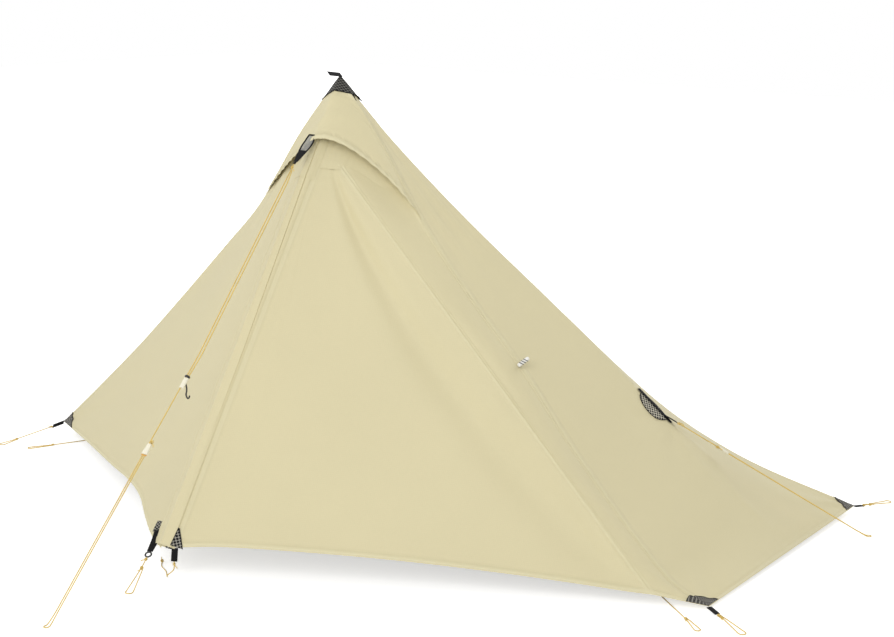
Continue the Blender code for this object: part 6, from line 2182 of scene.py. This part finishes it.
class TENT_OT_finishes(bpy.types.Operator):
    """Makes the node groups and the materials"""
    bl_idname = "tent.finishes"
    bl_label = "Finishes"

    def execute(self, context):
        make_finishes()
        return {"FINISHED"}


class TENT_OT_cords(bpy.types.Operator):
    """Lays the guylines, corner cords and their knots"""
    bl_idname = "tent.cords"
    bl_label = "Cords"

    def execute(self, context):
        make_cords()
        return {"FINISHED"}


class TENT_OT_fly(bpy.types.Operator):
    """Sews the fly's panels"""
    bl_idname = "tent.fly"
    bl_label = "Fly"

    def execute(self, context):
        make_fly()
        return {"FINISHED"}


class TENT_OT_hood(bpy.types.Operator):
    """Makes the hood, its tab and the apex cap"""
    bl_idname = "tent.hood"
    bl_label = "Hood and cap"

    def execute(self, context):
        make_hood()
        return {"FINISHED"}


class TENT_OT_zip(bpy.types.Operator):
    """Makes the zip, the cloth under it and the storm flap"""
    bl_idname = "tent.zip"
    bl_label = "Zip and storm flap"

    def execute(self, context):
        make_zip()
        return {"FINISHED"}


class TENT_OT_corners(bpy.types.Operator):
    """Makes the corner patches, the straps, the front point and the pull-outs"""
    bl_idname = "tent.corners"
    bl_label = "Corners and pull-outs"

    def execute(self, context):
        make_corners()
        make_pullouts()
        make_point()
        return {"FINISHED"}


class TENT_OT_fittings(bpy.types.Operator):
    """Makes the line runners, the hook and the tie-back toggle"""
    bl_idname = "tent.fittings"
    bl_label = "Fittings"

    def execute(self, context):
        make_tensioners()
        make_toggle()
        return {"FINISHED"}


class TENT_OT_inner(bpy.types.Operator):
    """Makes the inner tent"""
    bl_idname = "tent.inner"
    bl_label = "Inner tent"

    def execute(self, context):
        make_inner()
        return {"FINISHED"}


class TENT_OT_pole(bpy.types.Operator):
    """Finishes the pole, the slider and the pull"""
    bl_idname = "tent.pole"
    bl_label = "Pole and slider"

    def execute(self, context):
        make_pole()
        return {"FINISHED"}


class TENT_OT_stitches(bpy.types.Operator):
    """Sews the stitches along the seams"""
    bl_idname = "tent.stitches"
    bl_label = "Stitches"

    def execute(self, context):
        make_stitches()
        return {"FINISHED"}


BUILDERS = (TENT_OT_finishes, TENT_OT_stage, TENT_OT_cords, TENT_OT_fly, TENT_OT_hood,
            TENT_OT_zip, TENT_OT_corners, TENT_OT_fittings, TENT_OT_inner, TENT_OT_pole,
            TENT_OT_stitches)


class TENT_PT_panel(bpy.types.Panel):
    """Lists the tent's builders with its sizes and colours"""
    bl_idname = "TENT_PT_panel"
    bl_label = "Camping tent"
    bl_space_type = "VIEW_3D"
    bl_region_type = "UI"
    bl_category = "Tent"

    def draw(self, context):
        for group in (context.scene.tent_sizes, context.scene.tent_colours):
            box = self.layout.box()
            for key in group.bl_rna.properties.keys():
                if key not in ("rna_type", "name"):
                    box.prop(group, key)
        for builder in BUILDERS:
            self.layout.operator(builder.bl_idname)


CLASSES = (TentSizes, TentColours, *BUILDERS, TENT_PT_panel)


def register():
    for kind in CLASSES:
        bpy.utils.register_class(kind)
    bpy.types.Scene.tent_sizes = PointerProperty(type=TentSizes)
    bpy.types.Scene.tent_colours = PointerProperty(type=TentColours)


def unregister():
    del bpy.types.Scene.tent_colours
    del bpy.types.Scene.tent_sizes
    for kind in reversed(CLASSES):
        bpy.utils.unregister_class(kind)


def main():
    register()
    for builder in BUILDERS:
        group, name = builder.bl_idname.split(".")
        getattr(getattr(bpy.ops, group), name)()


if __name__ == "__main__":
    main()
